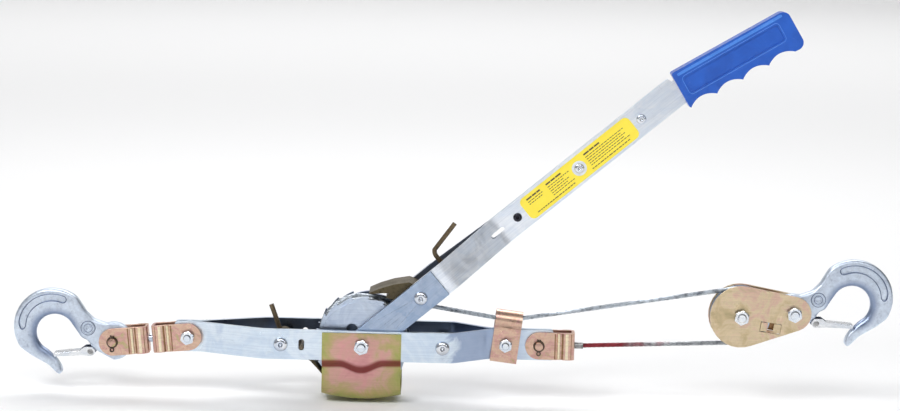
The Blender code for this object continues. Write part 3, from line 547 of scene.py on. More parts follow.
def guard_plate(name):
    """The guard's passivated sheet: pink in the middle, turning olive towards its edges, with painted shade on the
    tilted faces of its pressed step.
    """
    t = Tree(name)
    parts = t.add("ShaderNodeSeparateXYZ", Vector=t.place)
    across = t.math("ABSOLUTE", t.math("SUBTRACT", parts.outputs["X"], DRUM_AT.x))
    height = t.math("ABSOLUTE", t.math("SUBTRACT", parts.outputs["Z"], DRUM_AT.z - 0.018))
    edge = t.math("MAXIMUM", t.math("MULTIPLY", across, 1 / 0.041), t.math("MULTIPLY", height, 1 / 0.040))
    cloud = t.noise(34.0, 5.0, 0.6, warp=0.9)
    where = t.math("ADD", t.span(edge, 0.0, 1.0, 0.05, 0.72), t.span(cloud, 0.25, 0.75, -0.26, 0.26))
    colour = t.ramp(where, GUARD_TINTS)
    streaks = t.noise(1.0, 3.0, 0.7, t.scaled(60.0, 60.0, 900.0))
    colour = t.mix(0.22, colour, t.ramp(streaks, [(0.3, (0.5, 0.5, 0.5)), (0.7, (1, 1, 1))]), "MULTIPLY")
    # painted shade: faces tilted up or down near the pressed step's height are darkened to dark red
    tilt = t.math("ABSOLUTE", t.add("ShaderNodeSeparateXYZ", Vector=t.normal).outputs["Z"])
    step = t.math("ABSOLUTE", t.math("SUBTRACT", parts.outputs["Z"], DRUM_AT.z - 0.0225))
    shade = t.math("MULTIPLY", t.span(tilt, 0.06, 0.40, 0.0, 0.85), t.span(step, 0.007, 0.011, 1.0, 0.0))
    colour = t.mix(shade, colour, (0.26, 0.05, 0.05))
    rub = t.noise(170.0, 6.0, 0.7, warp=0.6)
    t.set(Base_Color=colour, Metallic=1.0, Roughness=t.span(rub, 0.3, 0.7, 0.30, 0.46))
    peel = t.bump(t.noise(520.0, 3.0), 0.1, 0.0003)
    t.feed(t.shader.inputs["Normal"], t.bump(streaks, 0.08, 0.0002, peel))
    return t.material


def forging(name, light, dark, rough=(0.34, 0.55), pits=0.5, bowls=()):
    """A plated forging: pebbled skin with brighter high spots, and painted shade round the bowl of a hook."""
    t = Tree(name)
    lumps = t.noise(260.0, 8.0, 0.62, warp=0.4)
    broad = t.noise(38.0, 4.0, 0.6)
    colour = t.ramp(lumps, [(0.26, dark), (0.42, light), (0.72, tuple(min(1.0, c * 1.25) for c in light))])
    colour = t.mix(t.span(broad, 0.35, 0.7, 0.0, 0.35), colour, dark)
    flat = t.vector("MULTIPLY", t.place, (1, 0, 1)).outputs["Vector"]
    # painted shade: darkened towards deep blue within each bowl's radius
    for bowl in bowls:
        away = t.math("ADD", t.vector("DISTANCE", flat, bowl).outputs["Value"], t.span(broad, 0.3, 0.7, -0.0015, 0.0015))
        colour = t.mix(t.span(away, 0.0235, 0.0295, 0.75, 0.0), colour, (0.17, 0.23, 0.38))
    t.set(Base_Color=colour, Metallic=1.0, Roughness=t.span(broad, 0.3, 0.7, *rough))
    scale = t.bump(t.noise(900.0, 3.0, 0.6), 0.18, 0.0004)
    t.feed(t.shader.inputs["Normal"], t.bump(lumps, pits, 0.0009, scale))
    return t.material


def strand_metal(name, light, dark, metallic=1.0):
    """Drawn wire: lengthways lines, grime between strands, and small bright rubs."""
    t = Tree(name)
    grime = t.noise(160.0, 5.0, 0.7)
    fine = t.noise(2600.0, 2.0, 0.5)
    colour = t.ramp(grime, [(0.30, dark), (0.55, light), (0.8, tuple(min(1.0, c * 1.3) for c in light))])
    colour = t.mix(t.span(fine, 0.45, 0.7, 0.0, 0.35), colour, dark)
    t.set(Base_Color=colour, Metallic=metallic, Roughness=t.span(grime, 0.3, 0.7, 0.30, 0.48))
    t.feed(t.shader.inputs["Normal"], t.bump(fine, 0.25, 0.0001))
    return t.material


def red_rope(name):
    """Strands painted dark red near the frame, the paint thinning out along the pull."""
    t = Tree(name)
    along = t.add("ShaderNodeSeparateXYZ", Vector=t.place).outputs["X"]
    grime = t.noise(210.0, 5.0, 0.7)
    steel = t.ramp(grime, [(0.30, (0.13, 0.14, 0.15)), (0.6, (0.50, 0.52, 0.54))])
    paint = t.ramp(grime, [(0.30, (0.10, 0.006, 0.012)), (0.6, (0.30, 0.022, 0.035))])
    patchy = t.math("ADD", along, t.span(t.noise(75.0, 3.0), 0.3, 0.7, -0.022, 0.022))
    bare_steel = t.span(patchy, 0.618, 0.668, 0.0, 1.0)
    t.set(Base_Color=t.mix(bare_steel, paint, steel), Metallic=t.span(bare_steel, 0.0, 1.0, 0.25, 1.0), Roughness=0.42)
    t.feed(t.shader.inputs["Normal"], t.bump(t.noise(2400.0, 2.0), 0.25, 0.0001))
    return t.material


def plastic(name, light, dark, rough=(0.30, 0.46), grain=0.12):
    """Moulded vinyl: nearly even colour, faint flow marks and a fine grain."""
    t = Tree(name)
    flow = t.noise(34.0, 4.0, 0.55, warp=0.7)
    dust = t.noise(420.0, 5.0, 0.7)
    colour = t.mix(t.span(flow, 0.3, 0.7, 0.0, 1.0), light, dark)
    colour = t.mix(t.span(dust, 0.64, 0.76, 0.0, 0.20), colour, (0.30, 0.36, 0.50))
    t.set(Base_Color=colour, Roughness=t.span(dust, 0.3, 0.7, *rough))
    t.shader.inputs["Coat Weight"].default_value = 0.25
    t.shader.inputs["Coat Roughness"].default_value = 0.25
    t.feed(t.shader.inputs["Normal"], t.bump(t.noise(1500.0, 3.0), grain, 0.0002))
    return t.material


def film(name, light, dark, metallic=0.0):
    """Printed film: even colour under a thin gloss, with light scuffs."""
    t = Tree(name)
    scuff = t.noise(1.0, 4.0, 0.7, t.scaled(240.0, 240.0, 900.0, HANDLE_TURN))
    cloud = t.noise(60.0, 4.0, 0.6)
    colour = t.mix(t.span(cloud, 0.35, 0.7, 0.0, 0.6), light, dark)
    colour = t.mix(t.span(scuff, 0.64, 0.72, 0.0, 0.25), colour, (0.95, 0.93, 0.80))
    t.set(Base_Color=colour, Metallic=metallic, Roughness=t.span(scuff, 0.3, 0.7, 0.26, 0.42))
    t.feed(t.shader.inputs["Normal"], t.bump(cloud, 0.05, 0.0002))
    return t.material


GOLD = [
    (0.24, (0.44, 0.38, 0.18)),
    (0.38, (0.70, 0.43, 0.34)),
    (0.48, (0.74, 0.53, 0.39)),
    (0.58, (0.68, 0.38, 0.35)),
    (0.68, (0.56, 0.49, 0.26)),
    (0.80, (0.48, 0.31, 0.18)),
]
GUARD_TINTS = [
    (0.05, (0.60, 0.28, 0.29)),
    (0.28, (0.70, 0.37, 0.35)),
    (0.44, (0.64, 0.40, 0.32)),
    (0.58, (0.52, 0.42, 0.21)),
    (0.74, (0.43, 0.43, 0.15)),
    (0.95, (0.36, 0.37, 0.15)),
]
TAPER_SHADE = (0.440, 0.446, 0.500, 0.530)
BLOCK_TINTS = [
    (0.22, (0.46, 0.38, 0.22)),
    (0.40, (0.66, 0.52, 0.32)),
    (0.50, (0.76, 0.62, 0.42)),
    (0.60, (0.74, 0.50, 0.40)),
    (0.75, (0.56, 0.48, 0.28)),
]
# gold tints for painted shade (rib furrows, the block's rear tabs) and painted highlight (the ribs)
SHADE_TINTS = [(0.30, (0.20, 0.10, 0.05)), (0.50, (0.34, 0.20, 0.10)), (0.70, (0.24, 0.14, 0.07))]
HIGHLIGHT_TINTS = [(0.30, (0.88, 0.70, 0.44)), (0.50, (0.97, 0.86, 0.62)), (0.70, (0.92, 0.74, 0.52))]


def hook_bowls():
    """The middles of both hooks' bowls, in the row frame."""
    middles = [(turned([(way * 61.6, 8.8)], HOOK_ROLL, eye)[0]) for eye, way in ((ANCHOR_EYE, -1), (BLOCK_BOLT, 1))]
    return [(x * MM + DRUM_AT.x, 0.0, z * MM + DRUM_AT.z) for x, z in middles]


RECIPES = {
    "zinc": lambda n: spangled(n, (0.74, 0.83, 0.92), (0.62, 0.73, 0.86), (0.56, 0.66, 0.80), (0.26, 0.40), 0.0, TAPER_SHADE),
    "strap_zinc": lambda n: spangled(n, (0.90, 0.94, 1.0), (0.80, 0.87, 0.97), (0.78, 0.84, 0.95), (0.28, 0.42), HANDLE_TURN),
    "doubler_zinc": lambda n: spangled(n, (0.40, 0.49, 0.64), (0.33, 0.43, 0.60), (0.28, 0.36, 0.50), (0.28, 0.42), HANDLE_TURN),
    "gold_shade": lambda n: sheet_metal(n, SHADE_TINTS, blotch=70.0),
    "gold_light": lambda n: sheet_metal(n, HIGHLIGHT_TINTS, blotch=70.0),
    "forged_shade": lambda n: forging(n, (0.16, 0.20, 0.30), (0.09, 0.12, 0.20), (0.34, 0.5), 0.2),
    "nut_zinc": lambda n: spangled(n, (0.86, 0.88, 0.90), (0.70, 0.76, 0.84), (0.45, 0.48, 0.52), (0.16, 0.30)),
    "rivet_zinc": lambda n: spangled(n, (0.78, 0.80, 0.84), (0.56, 0.62, 0.72), (0.34, 0.36, 0.40), (0.14, 0.28)),
    "wheel_steel": lambda n: spangled(n, (0.56, 0.64, 0.76), (0.46, 0.54, 0.68), (0.38, 0.44, 0.56), (0.28, 0.46)),
    "spring_wire": lambda n: strand_metal(n, (0.46, 0.46, 0.46), (0.10, 0.10, 0.10)),
    "cotter_wire": lambda n: strand_metal(n, (0.20, 0.17, 0.13), (0.05, 0.04, 0.035)),
    "gold": lambda n: sheet_metal(n, GOLD, blotch=70.0),
    "guard_gold": guard_plate,
    "block_gold": lambda n: sheet_metal(n, BLOCK_TINTS, (0.26, 0.42), 34.0),
    "forged": lambda n: forging(n, (0.62, 0.69, 0.79), (0.38, 0.44, 0.56), (0.30, 0.48), 0.35, hook_bowls()),
    "latch_zinc": lambda n: spangled(n, (0.84, 0.85, 0.86), (0.66, 0.70, 0.76), (0.40, 0.42, 0.45), (0.2, 0.36)),
    "pawl_brown": lambda n: forging(n, (0.11, 0.09, 0.055), (0.035, 0.028, 0.02), (0.36, 0.54), 0.2),
    "lever_brown": lambda n: forging(n, (0.18, 0.135, 0.085), (0.05, 0.037, 0.027), (0.34, 0.52), 0.2),
    "black": lambda n: forging(n, (0.035, 0.035, 0.045), (0.012, 0.012, 0.016), (0.22, 0.36), 0.1),
    "rope": lambda n: strand_metal(n, (0.60, 0.65, 0.70), (0.16, 0.18, 0.21)),
    "rope_red": red_rope,
    "blue": lambda n: plastic(n, (0.010, 0.110, 0.56), (0.006, 0.080, 0.44)),
    "blue_mark": lambda n: plastic(n, (0.08, 0.27, 0.78), (0.05, 0.21, 0.68), (0.24, 0.36)),
    "label": lambda n: film(n, (0.98, 0.80, 0.07), (0.94, 0.73, 0.05)),
    "label_ink": lambda n: film(n, (0.05, 0.045, 0.03), (0.10, 0.08, 0.03)),
}


def look(name):
    """The material of this name, made once."""
    return bpy.data.materials.get(name) or RECIPES[name](name)


# ---- fasteners -----------------------------------------------------------------------------


def skinned(rings, close_start=True, close_end=True):
    """A surface through rings of (x, y, z) points, all of the same count."""
    bm = bmesh.new()
    made = [[bm.verts.new(p) for p in ring] for ring in rings]
    count = len(made[0])
    for low, high in zip(made, made[1:]):
        for k in range(count):
            n = (k + 1) % count
            bm.faces.new((low[k], low[n], high[n], high[k]))
    if close_start:
        bm.faces.new(made[0][::-1])
    if close_end:
        bm.faces.new(made[-1])
    return tidy(bm)


def hex_body(centre, flats, inner, outer, turn=0.0, bore=0.0, side=-1):
    """A hexagon with chamfered corners on its outer face and a washer face on its inner one."""
    steps, half = 96, flats / 2
    angles = [2 * pi * k / steps for k in range(steps)]
    crest = half * 0.955

    def corner(a):
        return half / cos((a - radians(turn)) % (pi / 3) - pi / 6)

    def around(radius, height):
        spots = [(radius(a), height(a), a) for a in angles]
        return [(centre[0] + r * cos(a), side * y, centre[1] + r * sin(a)) for r, y, a in spots]

    def fall(a):
        return outer - max(0.0, corner(a) - crest) * 0.58

    def rise(a):
        return inner + 0.45 + max(0.0, corner(a) - crest) * 0.3

    rings = [around(lambda a: half * 0.94, lambda a: inner)]
    rings.append(around(lambda a: half * 0.94, lambda a: inner + 0.4))
    rings.append(around(corner, rise))
    rings.append(around(corner, fall))
    rings.append(around(lambda a: crest, lambda a: outer))
    if bore:
        rings.append(around(lambda a: bore + 0.5, lambda a: outer))
        rings.append(around(lambda a: bore, lambda a: outer - 0.5))
        rings.append(around(lambda a: bore, lambda a: inner))
        rings.append(rings[0])
        return skinned(rings, False, False)
    rings.append(around(lambda a: crest * 0.72, lambda a: outer))
    rings.append(around(lambda a: crest * 0.66, lambda a: outer - 0.35))
    return skinned(rings)


def threaded_end(centre, radius, start, end, pitch=1.25):
    """The visible thread of a bolt, from start out to end in front."""
    root = radius - 0.55
    profile = [(0.0, -end), (root - 0.5, -end), (root, -end + 0.5)]
    y = -end + 0.5
    while y < -start - pitch:
        profile += [(radius - 0.05, y + pitch * 0.45), (radius - 0.05, y + pitch * 0.6), (root, y + pitch)]
        y += pitch
    profile += [(radius - 0.3, y + 0.3), (radius - 0.3, 0.0), (0.0, 0.0)]
    return spun(profile, centre, 32)


def hex_pair(bolt_node, nut_node, body, centre, radius, flats, start, end, reach, turns):
    """A hexagon bolt from the back with its nut in front, as two pieces."""
    head = hex_body(centre, flats, start, end, turns[0], side=1)
    shank = spun([(0.0, start + 0.3), (radius - 0.3, start + 0.3), (radius - 0.3, 0.0), (0.0, 0.0)], centre, 32)
    whole = joined(head, shank, threaded_end(centre, radius, start, reach))
    piece(f"{bolt_node}_hex", whole, "nut_zinc", body, bolt_node, 0)
    collar = spun(
        [(radius + 0.15, -end - 0.5), (radius + 1.7, -end - 0.5), (radius + 2.0, -end + 0.2), (radius + 0.15, -end + 0.2)],
        centre, 48, whole=True,
    )  # fmt: skip
    nut = joined(hex_body(centre, flats, start, end, turns[1], radius + 0.1), collar)
    piece(f"{nut_node}_hex", nut, "nut_zinc", body, nut_node, 0)


def dome(radius, outer, height, shank):
    """Half of a rivet's profile: a dome with the dimple its setting punch left."""
    shape = [(1.0, 0.0), (1.0, 0.14), (0.975, 0.34), (0.92, 0.55), (0.83, 0.75), (0.70, 0.90), (0.56, 0.98), (0.44, 1.0)]
    shape += [(0.34, 0.97), (0.27, 0.86), (0.22, 0.66), (0.16, 0.52), (0.08, 0.46), (0.0, 0.45)]
    return [(shank, outer - 0.3)] + [(radius * r, outer + height * y) for r, y in shape]


def rivet(node, centre, shank, radius, outer, height, body, material="rivet_zinc"):
    half = dome(radius, outer, height, shank)
    whole = [(r, -y) for r, y in half[::-1]] + half
    piece(f"{node}_domes", spun(whole, centre, 48), material, body, node, 0)


def washer(inner, outer, y0, y1, centre, edge=0.3):
    profile = [(inner, y0), (outer - edge, y0), (outer, y0 + edge), (outer, y1 - edge), (outer - edge, y1), (inner, y1)]
    return spun(profile, centre, 48, whole=True)


def clevis_pin(node, centre, radius, reach, body):
    """A pin with a broad head at the back and a rounded point in front."""
    profile = [
        (0, -reach), (radius - 1.4, -reach), (radius - 0.5, -reach + 0.4), (radius, -reach + 1.4), (radius, reach - 3.0),
        (radius + 2.6, reach - 3.0), (radius + 3.0, reach - 2.6), (radius + 3.0, reach - 1.2), (radius + 2.0, reach - 0.5),
        (0, reach - 0.4),
    ]  # fmt: skip
    piece(f"{node}_turned", spun(profile, centre, 48), "gold", body, node, 0)


def cotter(node, centre, pin_r, reach, body):
    """A split pin bent round in front of its pin: an eye below, a loop over the pin, and legs opened above."""
    y = -reach + 2.3
    half = 0.62
    x, z = centre
    bm = tube([(px, y, pz) for px, pz in circle(centre, pin_r + 0.8, 40)], half, 12, closed=True)
    eye = [(px, y, pz) for px, pz in circle((x - 0.2, z - pin_r - 3.4), 1.9, 24)]
    tube(eye, half, 12, bm, closed=True)
    for way, top in ((-1, 5.4), (1, 4.8)):
        foot = z + pin_r
        leg = [(x + way * 0.5, y, foot + 0.8), (x + way * 0.9, y, foot + 1.8), (x + way * 2.2, y, z + pin_r * 0.4 + top)]
        tube(leg, half, 10, bm)
    piece(f"{node}_wire", tidy(bm), "cotter_wire", body, node, 0)


# ---- frame ---------------------------------------------------------------------------------


def frame_mid(x):
    """How far a frame bar's middle is from the centre plane, along its length."""
    wide, narrow, soft = sum(FRAME) / 2, sum(BAR_END) / 2, 4.0
    if x < 0:
        return eased(x, *TAPER_LEFT, narrow, wide, soft)
    return eased(x, *TAPER_RIGHT, wide, narrow, soft)


def frame_bars():
    half, r = BAR / 2, 3.0
    outline = (
        arc((FRAME_RIGHT - r, half - r), r, 90, 0, 15)
        + arc((FRAME_RIGHT - r, -half + r), r, 0, -90, 15)
        + arc((FRAME_LEFT + r, -half + r), r, 270, 180, 15)
        + arc((FRAME_LEFT + r, half - r), r, 180, 90, 15)
    )
    keyhole = slot_outline((SLOT_X, 0), 6.0, 12.0, pi / 2)
    holes = [circle((0, 0), BORE_R), circle((-RIVET_X, 0), 3.4), circle((RIVET_X, 0), 3.4), keyhole]
    holes += [circle((GUIDE_X, 0), 4.2), circle((FRAME_BOLT_X, 0), 4.2), circle((DEAD_END_X, 0), 5.1)]
    half_thick = (FRAME[1] - FRAME[0]) / 2
    for side in ("rear", "front"):
        bm = plate(outline, holes, -half_thick, half_thick)
        breaks = round_breaks((*TAPER_LEFT, *TAPER_RIGHT), 4.0)
        bm = bent(bm, Vector((0, 0, 0)), Vector((1, 0, 0)), breaks, frame_mid)
        bm = flipped(bm) if side == "front" else bm
        piece(f"bar_{side}", bm, "zinc", "frame", f"frame_bar_{side}", 0.55, 3)


def frame_fasteners():
    rivet("stop_pawl_rivet", (-RIVET_X, 0), 3.2, 7.6, FRAME[1], 3.9, "frame")
    rivet("spacer_rivet", (RIVET_X, 0), 3.2, 7.6, FRAME[1], 3.9, "frame")
    hex_pair("drum_shaft", "shaft_nut", "frame", (0, 0), SHAFT_R, 14.3, *NUT, NUT[1] + 2.9, (12, 18))
    place, end = (FRAME_BOLT_X, 0), (EAR[1] + 0.3, EAR[1] + 6.0)
    hex_pair("frame_end_bolt", "frame_end_nut", "frame", place, 3.97, 13.2, *end, end[1] + 1.9, (5, 20))
    place, end = (GUIDE_X, 0), (EAR[0] + 0.1 + 1.6 + 0.6, EAR[0] + 0.1 + 1.6 + 6.0)
    hex_pair("guide_bolt", "guide_nut", "frame", place, 3.97, 12.7, *end, end[1] + 1.9, (10, 25))
    pin = [(0, -FRAME[1]), (2.0, -FRAME[1]), (2.5, -FRAME[1] + 0.5), (2.5, FRAME[1] - 0.5), (2.0, FRAME[1]), (0, FRAME[1])]
    piece("spring_anchor_rod", spun(pin, (SLOT_X, -3.2), 32), "cotter_wire", "frame", "spring_anchor_pin", 0)
    spacer = [washer(3.5, 6.2, -19.8, 19.8, (RIVET_X, 0))]
    piece("spacer_sleeve", joined(*spacer), "wheel_steel", "frame", width=0)


def sheet_from(rows, thickness):
    """A sheet through rows of points, thickened outwards."""
    bm = bmesh.new()
    grid = [[bm.verts.new(p) for p in row] for row in rows]
    for low, high in zip(grid, grid[1:]):
        for i in range(len(low) - 1):
            bm.faces.new((low[i], high[i], high[i + 1], low[i + 1]))
    bmesh.ops.recalc_face_normals(bm, faces=bm.faces)
    middle = sum((f.calc_center_median() for f in bm.faces), Vector()) / len(bm.faces)
    if sum((f.calc_center_median() - middle).dot(f.normal) for f in bm.faces) < 0:
        bmesh.ops.reverse_faces(bm, faces=bm.faces[:])
    bm.normal_update()
    bmesh.ops.solidify(bm, geom=bm.faces[:], thickness=-thickness)
    return tidy(bm)


def rounded(points, radius, steps=5):
    """A polyline of 2-D points with each inner corner replaced by a short curve."""
    made = [points[0]]
    for before, here, after in zip(points, points[1:], points[2:]):
        a, b, c = Vector(before), Vector(here), Vector(after)
        reach = min(radius, (a - b).length * 0.45, (c - b).length * 0.45)
        p, q = b + (a - b).normalized() * reach, b + (c - b).normalized() * reach
        for i in range(steps + 1):
            t = i / steps
            made.append(tuple(p * (1 - t) ** 2 + b * 2 * t * (1 - t) + q * t * t))
    return made + [points[-1]]


def drum_guard():
    """A sheet wrapped under the drum from bar to bar, with a wavy step pressed across it."""
    half_width, top, low, foot, inner = 41.6, 13.8, -52.7, -5.3, GUARD[0]
    rows = []
    columns = 48
    for i in range(columns + 1):
        t = -1 + 2 * i / columns
        wave = cos(pi * t / 1.15) ** 2 if abs(t) < 0.575 else 0.0
        step = -15.0 - 7.2 * wave + 1.2 * t
        belly = foot * (1 - t * t)
        half = [(inner, top), (inner, step), (inner - 6.0, step - 6.4), (inner - 6.0, low + 6 + belly), (inner - 12.0, low + belly)]
        half = rounded(half + [(0.0, low + belly)], 3.2)[:-1]
        rows.append([(half_width * t, y, z) for y, z in half + [(-y, z) for y, z in half[::-1]]])
    guard = piece("guard_sheet", sheet_from(rows, GUARD[1] - GUARD[0]), "guard_gold", "frame", "drum_guard", 0.3)
    hole = spun([(0, -60), (BORE_R, -60), (BORE_R, 60), (0, 60)], (0, 0), 40)
    cut(guard, hole)
    seam = [washer(BORE_R + 0.1, 9.2, side * 35.0 - 0.35, side * 35.0 + 0.35, (0, 0), 0.15) for side in (-1, 1)]
    del seam


def cable_guide():
    """A strap bolted over both bars and curled into an eye round the cable above them."""
    width, thick, tilt = 28.5, 1.6, radians(-6.5)
    leaf, eye_r, eye_z = EAR[0] + 0.1, 9.2, 25.4
    curl = [(-eye_r * cos(radians(a)), eye_z + eye_r * sin(radians(a))) for a in range(-45, 226, 9)]
    line = rounded([(-leaf, -19.0), (-leaf, 17.4), curl[0]], 2.0)[:-1] + curl
    line += rounded([curl[-1], (leaf, 17.4), (leaf, -19.0)], 2.0)[1:]
    rows = [[(x, y, z) for y, z in line] for x in (-width / 2, -width / 6, width / 6, width / 2)]
    bm = sheet_from(rows, thick)
    bmesh.ops.rotate(bm, verts=bm.verts, cent=(0, 0, 0), matrix=Matrix.Rotation(-tilt, 3, "Y"))
    bmesh.ops.translate(bm, verts=bm.verts, vec=(GUIDE_X, 0, 0))
    guide = piece("guide_strap", bm, "gold", "frame", "cable_guide", 0.35, 3)
    cut(guide, spun([(0, -30), (4.2, -30), (4.2, 30), (0, 30)], (GUIDE_X, 0), 40))


# ---- drum ----------------------------------------------------------------------------------


def carried(node, material, width=0.3, segments=2, limit=24.0, merge=0.004):
    """A finished copy of a CAD node: its facets merged, its edges rounded, and a detailed material."""
    obj = frame["nodes"][node]
    bm = bmesh.new()
    bm.from_mesh(obj.data)
    bmesh.ops.remove_doubles(bm, verts=bm.verts, dist=merge * MM)
    bmesh.ops.dissolve_limit(bm, angle_limit=radians(1.0), verts=bm.verts, edges=bm.edges)
    mesh = bpy.data.meshes.new(f"{node}_finish")
    bm.to_mesh(mesh)
    bm.free()
    for name in ("custom_normal", "sharp_edge", "sharp_face"):
        if mesh.attributes.get(name):
            mesh.attributes.remove(mesh.attributes[name])
    made = bpy.data.objects.new(f"{node}_finish", mesh)
    bpy.context.scene.collection.objects.link(made)
    soften(made, width, segments, limit)
    made.data.materials.append(look(material))
    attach(made, obj["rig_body"])
    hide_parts(node)
    return made


def drum():
    for side in ("front", "rear"):
        carried(f"ratchet_wheel_{side}", "wheel_steel", 0.25)
        sign = -1 if side == "front" else 1
        rim = [(44.2, 19.3), (45.2, 19.3), (45.0, 19.75), (44.4, 19.75)]
        hub = [(6.2, 19.3), (9.6, 19.3), (9.2, 20.1), (6.6, 20.1)]
        rings = [spun([(r, sign * y) for r, y in shape], (0, 0), 72, whole=True) for shape in (rim, hub)]
        piece(f"wheel_rings_{side}", joined(*rings), "wheel_steel", "drum", width=0)
    side = [(BORE_R, WINDING), (10.4, WINDING), (11.0, WINDING - 0.6), (11.0, 2.6), (11.8, 2.0), (33.7, 2.0)]
    side += [(34.5, 2.8), (34.5, WINDING), (CORE_R, WINDING)]
    profile = side + [(r, -y) for r, y in side[::-1]]
    piece("drum_barrel", spun(profile, (0, 0), 72, whole=True), "wheel_steel", "drum", "drum_core", 0)


# ---- handle --------------------------------------------------------------------------------


def handle_mid(s):
    return eased(s, LEVER_S, SPLAY_END, sum(STRAP) / 2, sum(STRAP_END) / 2, 5.0)


def handle_straps():
    half, tang = BAR / 2, 10.5
    upper = [(BEND_S, half), (BEND_S + 1.5, tang), past_bend(545, tang)]
    lower = [past_bend(545, -tang), (BEND_S + 1.5, -tang), (BEND_S, -half)]
    outline = on_handle(upper + lower + arc((0, 0), half, 270, 90, 5))
    rivets = (BLACK_RIVET_S, LABEL_S, TOP_RIVET_S)
    pawl_at = on_handle([(PAWL_S, 0)])[0]
    holes = [circle((0, 0), BORE_R), circle(pawl_at, 3.4)]
    holes += [circle(on_handle([(s, 0)])[0], 2.9, 32) for s in rivets]
    holes += [slot_outline(on_handle([(184.5, 0)])[0], 5.0, 17.0, HANDLE_TURN)]
    along = Vector((cos(HANDLE_TURN), 0, sin(HANDLE_TURN)))
    doubler = on_handle([(DOUBLER_END, half), *arc((0, 0), half, 90, 270, 5), (DOUBLER_END, -half)])
    thick = (STRAP[1] - STRAP[0]) / 2
    for side in ("rear", "front"):
        bm = plate(outline, holes, -thick, thick)
        bm = bent(bm, Vector((0, 0, 0)), along, round_breaks((LEVER_S, SPLAY_END), 5.0), handle_mid)
        outer = plate(doubler, holes[:2], *DOUBLER)
        if side == "front":
            bm, outer = flipped(bm), flipped(outer)
        piece(f"strap_{side}", bm, "strap_zinc", "handle", f"handle_strap_{side}", 0.45, 3)
        piece(f"doubler_{side}", outer, "doubler_zinc", "handle", f"handle_doubler_{side}", 0.45, 3)


def handle_fasteners():
    place = on_handle([(PAWL_S, 0)])[0]
    rivet("drive_pawl_rivet", place, 3.2, 7.5, DOUBLER[1], 3.8, "handle")
    for node, s, size, material in (
        ("lower_rivet", BLACK_RIVET_S, 4.7, "black"),
        ("middle_rivet", LABEL_S, 5.4, "rivet_zinc"),
        ("upper_rivet", TOP_RIVET_S, 5.4, "rivet_zinc"),
    ):
        rivet(node, on_handle([(s, 0)])[0], 2.7, size, STRAP_END[1], 2.6, "handle", material)


def rounded_box(s0, s1, n0, n1, corner):
    """A rectangle along the handle with round corners, as (along, across) points."""
    corners = ((s1, n1, 0), (s0, n1, 90), (s0, n0, 180), (s1, n0, 270))
    points = []
    for s, n, start in corners:
        centre = (s - corner if start in (0, 270) else s + corner, n - corner if start in (0, 90) else n + corner)
        points += arc(centre, corner, start, start + 90, 10)
    return points


def label():
    """A plain yellow decal with rows of meaningless bars where printing would be."""
    length, height = 145.0, 26.0
    low, high = LABEL_S - length / 2, LABEL_S + length / 2
    hole = circle(on_handle([(LABEL_S, 0)])[0], 8.0, 48)
    front = (-STRAP_END[1] - 0.4, -STRAP_END[1] - 0.1)
    shape = on_handle(rounded_box(low, high, -height / 2, height / 2, 6.0))
    piece("decal", plate(shape, [hole], *front), "label", "handle", "handle_label", 0.08, 1)
    rng = random.Random(7)
    bars = []

    def bar(s0, s1, n, tall):
        outline = on_handle([(s0, n - tall / 2), (s1, n - tall / 2), (s1, n + tall / 2), (s0, n + tall / 2)])
        bars.append(plate(outline, [], front[0] - 0.06, front[0] + 0.02))

    def row(s0, s1, n, tall, words, gap):
        s = s0
        while s < s1 - 2:
            wide = min(rng.uniform(*words), s1 - s)
            if wide > 1.0 and abs((s + wide / 2) - LABEL_S) > 8.5 + wide / 2 + 1.5:
                bar(s, s + wide, n, tall)
            s += wide + gap

    for s0, s1 in ((low + 34, LABEL_S - 10), (LABEL_S + 12, high - 6)):
        row(s0, s0 + 22, 8.4, 1.7, (5.0, 8.0), 0.7)
        for n in (5.0, 2.4, -0.2, -2.8, -5.4):
            row(s0, s1 - rng.uniform(0, 9), n, 0.8, (1.6, 4.6), 0.8)
    row(low + 8, low + 26, 8.4, 1.7, (5.0, 8.0), 0.7)
    for n in (5.2, 2.6):
        row(low + 8, low + 27, n, 0.8, (1.6, 4.2), 0.8)
    row(low + 10, high - 12, -9.2, 1.0, (2.0, 5.0), 0.8)
    piece("decal_bars", joined(*bars), "label_ink", "handle", width=0)


